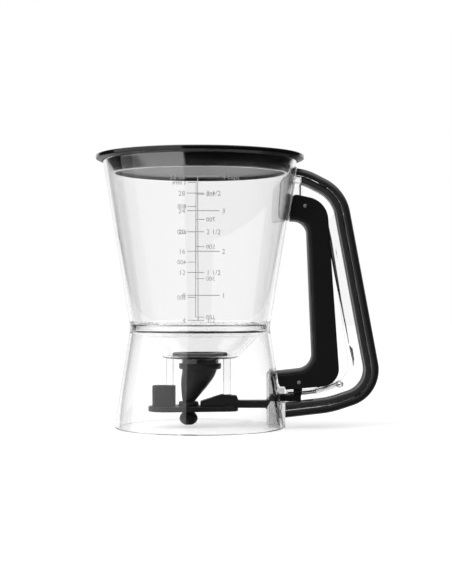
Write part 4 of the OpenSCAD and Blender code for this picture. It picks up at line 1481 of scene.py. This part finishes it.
@dataclass
class Trigger:
    """Squeeze trigger: a moulded channel, its soft finger skin, its pins and its spring."""

    jug: Jug
    pivot: Pair = (72.002, 152.1)
    link: Pair = (67.849, 31.4)
    width: float = 20.0
    edge: float = 0.5
    skin_t: float = 3.0
    skin_power: float = 0.7
    skin_gaps: Pair = (2.3, 0.9)
    pin_r: float = 1.25
    wire: float = 1.1
    coil_r: float = 3.05
    coil_y: float = -2.35
    coil_turn: float = 3 * 360 + 75.0
    bend: float = 1.3
    leg_up: float = 14.5
    leg_down: float = 9.5

    def skin(self) -> Object:
        """Half-round finger skin: its depth follows a power of sin(a) across the trigger.

        Returns:
            The object.
        """
        (px, pz), (lx, lz) = self.pivot, self.link
        run = Run.through([[px - 14, pz - 7.4], [px + 3.8, pz - 7.6], [lx + 12.3, lz + 7.6],
                           [lx - 16, lz + 4.5]], [12, 13], step=4)
        a = np.radians(np.linspace(0, 180, 31))
        half, brim = self.width / 2, BOND + 0.5
        depth = (self.skin_t - brim) * np.sin(a).clip(0) ** self.skin_power
        face = np.column_stack([-brim - depth, half * np.cos(a)])
        rings = run.rings(np.vstack([[[-BOND, half]], face, [[-BOND, -half]]]))
        for end, other, gap in zip((0, -1), (1, -2), self.skin_gaps):
            way = run.points[other] - run.points[end]
            rings[end] = self.jug.slid(rings[end], way, gap)
        return solid("trigger_skin_soft", rings, sharp=40)

    def pin(self, name: str, at: Pair) -> Object:
        """Pin across the trigger, a turned rod with rounded ends laid along Y."""
        end = self.width / 2 - 0.2
        half = Run.through([[0, -end], [self.pin_r, -end], [self.pin_r, end], [0, end]],
                           [0.4, 0.4], step=15).points
        return turned(name, half, AROUND_PIN, CREASE, at, across=True)

    def spring_path(self) -> np.ndarray:
        """Middle of the spring's wire: a hooked leg, three turns and a leg down the channel.

        Returns:
            Rows of x, y, z.
        """
        (px, pz), bend, pitch = self.pivot, self.bend, self.wire + 0.1
        side, top = px - self.coil_r, pz + self.leg_up
        a = np.radians(np.arange(90, -1, -15))
        hook = np.column_stack([np.full(len(a), side), self.coil_y + bend * (1 - np.cos(a)),
                                top - bend * (1 - np.sin(a))])
        turn = np.radians(np.arange(0, self.coil_turn + 0.1, 7.5))
        coil = np.column_stack([px - self.coil_r * np.cos(turn),
                                self.coil_y - pitch * turn / (2 * math.pi),
                                pz - self.coil_r * np.sin(turn)])
        tip = coil[-1] + self.leg_down * np.array([math.sin(turn[-1]), 0, -math.cos(turn[-1])])
        middle = [side, self.coil_y, pz + self.leg_up / 2]
        return np.vstack([[side, 1.1, top], hook, middle, coil, (coil[-1] + tip) / 2, tip])

    def spring(self) -> Object:
        """Return spring: a circle of the wire's size carried along its path.

        Returns:
            The object.
        """
        path = self.spring_path()
        way = unit(np.gradient(path, axis=0))
        side = unit(np.cross(way, [0.6, 0.7, 0.05]))
        over = np.cross(side, way)
        k = full_turn(14)[None, :, None]
        circle = np.cos(k) * side[:, None] + np.sin(k) * over[:, None]
        return solid("return_spring_wire", path[:, None] + self.wire / 2 * circle, sharp=60)

    def build(self) -> list[Object]:
        """Makes and dresses the trigger's pieces.

        Returns:
            The pieces.
        """
        channel = ease(cad_copy("trigger_channel", "trigger_body"), self.edge)
        return [fit(channel, BLACK, Body.TRIGGER, "trigger_body"),
                fit(self.skin(), GRIP, Body.TRIGGER, "trigger_skin"),
                fit(self.pin("pivot_pin_steel", self.pivot), STEEL, Body.VESSEL, "pivot_pin"),
                fit(self.pin("link_pin_steel", self.link), STEEL, Body.TRIGGER, "link_pin"),
                fit(self.spring(), STEEL, Body.VESSEL, "return_spring")]


@dataclass
class Arm:
    """Sliding arm with its guide boxes, ring, bar and fork."""

    edge: float = 0.4

    def build(self) -> Object:
        """Eases the arm's edges and dresses it."""
        piece = ease(cad_copy("arm_moulded", "slider_arm"), self.edge)
        return fit(piece, BLACK, Body.SLIDER, "slider_arm")


# ---------------------------------------------------------------- studio

@dataclass
class Studio:
    """White sweep, one large soft panel at the left front, and a level camera.

    Azimuths and rises are in degrees, azimuths from the front towards the left, and lengths are in
    metres. Each pair of limits is where a place begins to fade and where it has faded.
    """

    camera_at: Triple = (0.01794, -0.937, 0.0921)
    aim: Triple = (0.02, 0.0, 0.09)
    lens: float = 83.7
    shift_y: float = 0.0026
    panel: Pair = (18.6, 106.0)
    backdrop: Pair = (138.0, 152.0)
    backdrop_top: Pair = (20.0, 34.0)
    backdrop_foot: Pair = (-44.0, -26.0)
    overhead: float = 1.9
    overhead_rise: Pair = (26.0, 52.0)
    open_left: Pair = (60.0, 80.0)
    open_right: Pair = (-112.0, -100.0)
    dark: float = 0.03
    plain: float = 0.72
    floor_z: float = -0.0004
    floor_half: float = 3.0
    floor_grey: Pair = (0.86, 0.88)
    floor_glow: float = 0.45
    front_y: Pair = (-0.14, -0.04)
    side_x: Pair = (0.16, 0.30)
    side_spread: float = 0.6
    card: float = 0.9
    card_line: Pair = (0.336, 0.0105)
    card_fade: float = 0.012

    def camera(self) -> None:
        """Level camera that looks along +Y."""
        data = bpy.data.cameras.new("camera")
        data.sensor_fit, data.sensor_height, data.sensor_width = "VERTICAL", 36.0, 36.0
        data.lens, data.shift_y = self.lens, self.shift_y
        data.clip_start, data.clip_end = 0.01, 50
        eye = bpy.data.objects.new("camera", data)
        eye.location, eye.rotation_euler = self.camera_at, (math.pi / 2, 0, 0)
        bpy.context.scene.collection.objects.link(eye)
        bpy.context.scene.camera = eye

    def world(self) -> None:
        """World: white to the camera, a studio by direction to gloss and glass, plain to the rest.

        The studio is a backdrop behind, a panel between two azimuths at the left, and dark in
        front. Gloss alone finds light overhead. Rays that only passed through clear walls find
        white in front too, as the camera would.
        """
        world = bpy.data.worlds.new("studio")
        bpy.context.scene.world = world
        world.use_nodes = True
        world.node_tree.nodes.clear()
        n = Nodes(world.node_tree)
        x, y, z = n.split(n.add("ShaderNodeTexCoord").outputs["Generated"])
        azimuth = n.math("DEGREES", n.math("ARCTAN2", n.product(x, -1.0), n.product(y, -1.0)))
        rise = n.math("DEGREES", n.math("ARCSINE", z))
        path = n.add("ShaderNodeLightPath").outputs
        start, end = self.panel
        panel = n.product(n.rise(azimuth, start - 1, start + 1), n.fall(azimuth, end - 1, end + 1))
        backdrop = n.product(n.rise(n.math("ABSOLUTE", azimuth), *self.backdrop),
                             n.rise(rise, *self.backdrop_top, 1.0, 0.2),
                             n.rise(rise, *self.backdrop_foot, 0.1, 1.0))
        above = n.product(n.rise(rise, *self.overhead_rise), self.overhead, path["Is Glossy Ray"])
        opened = n.product(n.rise(azimuth, *self.open_right), n.fall(azimuth, *self.open_left),
                           n.straight_through(path))
        studio = n.most(backdrop, self.dark, panel, above, opened)
        mirrored = n.most(path["Is Glossy Ray"], path["Is Transmission Ray"])
        level = n.pick(path["Is Camera Ray"], n.pick(mirrored, self.plain, studio), 1.0)
        light = n.add("ShaderNodeBackground", {"Strength": level, "Color": (*WHITE, 1.0)})
        n.add("ShaderNodeOutputWorld", {"Surface": light.outputs[0]})

    def floor(self) -> None:
        """Pale floor that glows a little to the camera, so that it is white outside the shadow.

        Its front and sides stay dark to the object, so that they don't light it from below: only
        straight rays through clear walls find the front lit, and a card at its left.
        """
        corners = np.array([[-1, -1, 0], [1, -1, 0], [1, 1, 0], [-1, 1, 0]]) * self.floor_half
        piece = mesh_object("floor", (corners + [0, 0, self.floor_z]) / MM, [[0, 1, 2, 3]])
        n = Nodes.of_new("floor_finish")
        place = n.place()
        x, y, _ = n.split(place)
        path = n.add("ShaderNodeLightPath").outputs
        camera, through = path["Is Camera Ray"], path["Is Transmission Ray"]
        front, straight = n.fall(y, *self.front_y), n.straight_through(path)
        spread = n.math("MULTIPLY_ADD", n.most(y, 0.0), -self.side_spread, n.math("ABSOLUTE", x))
        sides = n.rise(spread, *self.side_x)
        dark = n.most(n.product(front, n.outside(straight)),
                      n.product(sides, n.outside(n.product(front, straight))))
        shown = n.outside(n.product(dark, n.outside(camera)))
        slope, foot = self.card_line
        left = n.math("MULTIPLY_ADD", y, slope, n.math("SUBTRACT", foot, x))
        card = n.product(n.rise(left, 0.0, self.card_fade), front, through, self.card)
        glow = n.product(shown, n.most(camera, through), self.floor_glow)
        mottle = n.rise(n.noise(place, 6.0), 0.0, 1.0, *self.floor_grey)
        n.feed(n.shader, {
            "Base Color": n.scaled(n.grey(mottle), shown), "Roughness": 0.9,
            "Specular IOR Level": 0.0, "Emission Color": (*WHITE, 1.0),
            "Emission Strength": n.most(glow, card)})
        piece.data.materials.append(bpy.data.materials["floor_finish"])
        piece.visible_glossy = False

    def lamp(self, name: str, at: tuple, side: float, power: float) -> None:
        """Soft square lamp that faces the object.

        Args:
            name: The lamp's name.
            at: Its place.
            side: Its side.
            power: Its power in watts.
        """
        data = bpy.data.lights.new(name, "AREA")
        data.shape, data.size, data.energy = "SQUARE", side, power
        lamp = bpy.data.objects.new(name, data)
        lamp.location = at
        lamp.rotation_euler = (Vector(self.aim) - lamp.location).to_track_quat("-Z", "Y").to_euler()
        lamp.visible_glossy = lamp.visible_transmission = False
        bpy.context.scene.collection.objects.link(lamp)

    def build(self) -> None:
        """Sets up the view, the light and the floor."""
        scene = bpy.context.scene
        scene.view_settings.view_transform = "Standard"
        for bounces in ("max_bounces", "transmission_bounces", "transparent_max_bounces"):
            setattr(scene.cycles, bounces, 32)
        self.camera()
        self.world()
        self.floor()
        self.lamp("panel_left", (-0.9, -0.8, 0.7), 0.8, 9.0)


def main() -> None:
    """Builds every sub-assembly in order and reports its pieces."""
    logging.basicConfig(level=logging.INFO, format="%(name)s: %(message)s", force=True)
    jug, front_x, back_x = Jug(), -0.3, 4.2
    front = VolumeScale(jug, "scale_front", Side.FRONT, front_x, 167.7, 74.3, ounce_marks(front_x))
    back = VolumeScale(jug, "scale_back", Side.BACK, back_x, 174.1, 74.8, millilitre_marks(back_x),
                       stroke=0.45)
    made = [*jug.build(), front.build(), back.build(), Nozzle(jug).build(), Lid(jug).build(),
            *Bow(jug).build(), *Trigger(jug).build(), Arm().build()]
    Studio().build()
    for piece in made:
        mesh = piece.data
        log.info("%s: %d points, %d faces", piece.name, len(mesh.vertices), len(mesh.polygons))


if __name__ == "__main__":
    main()
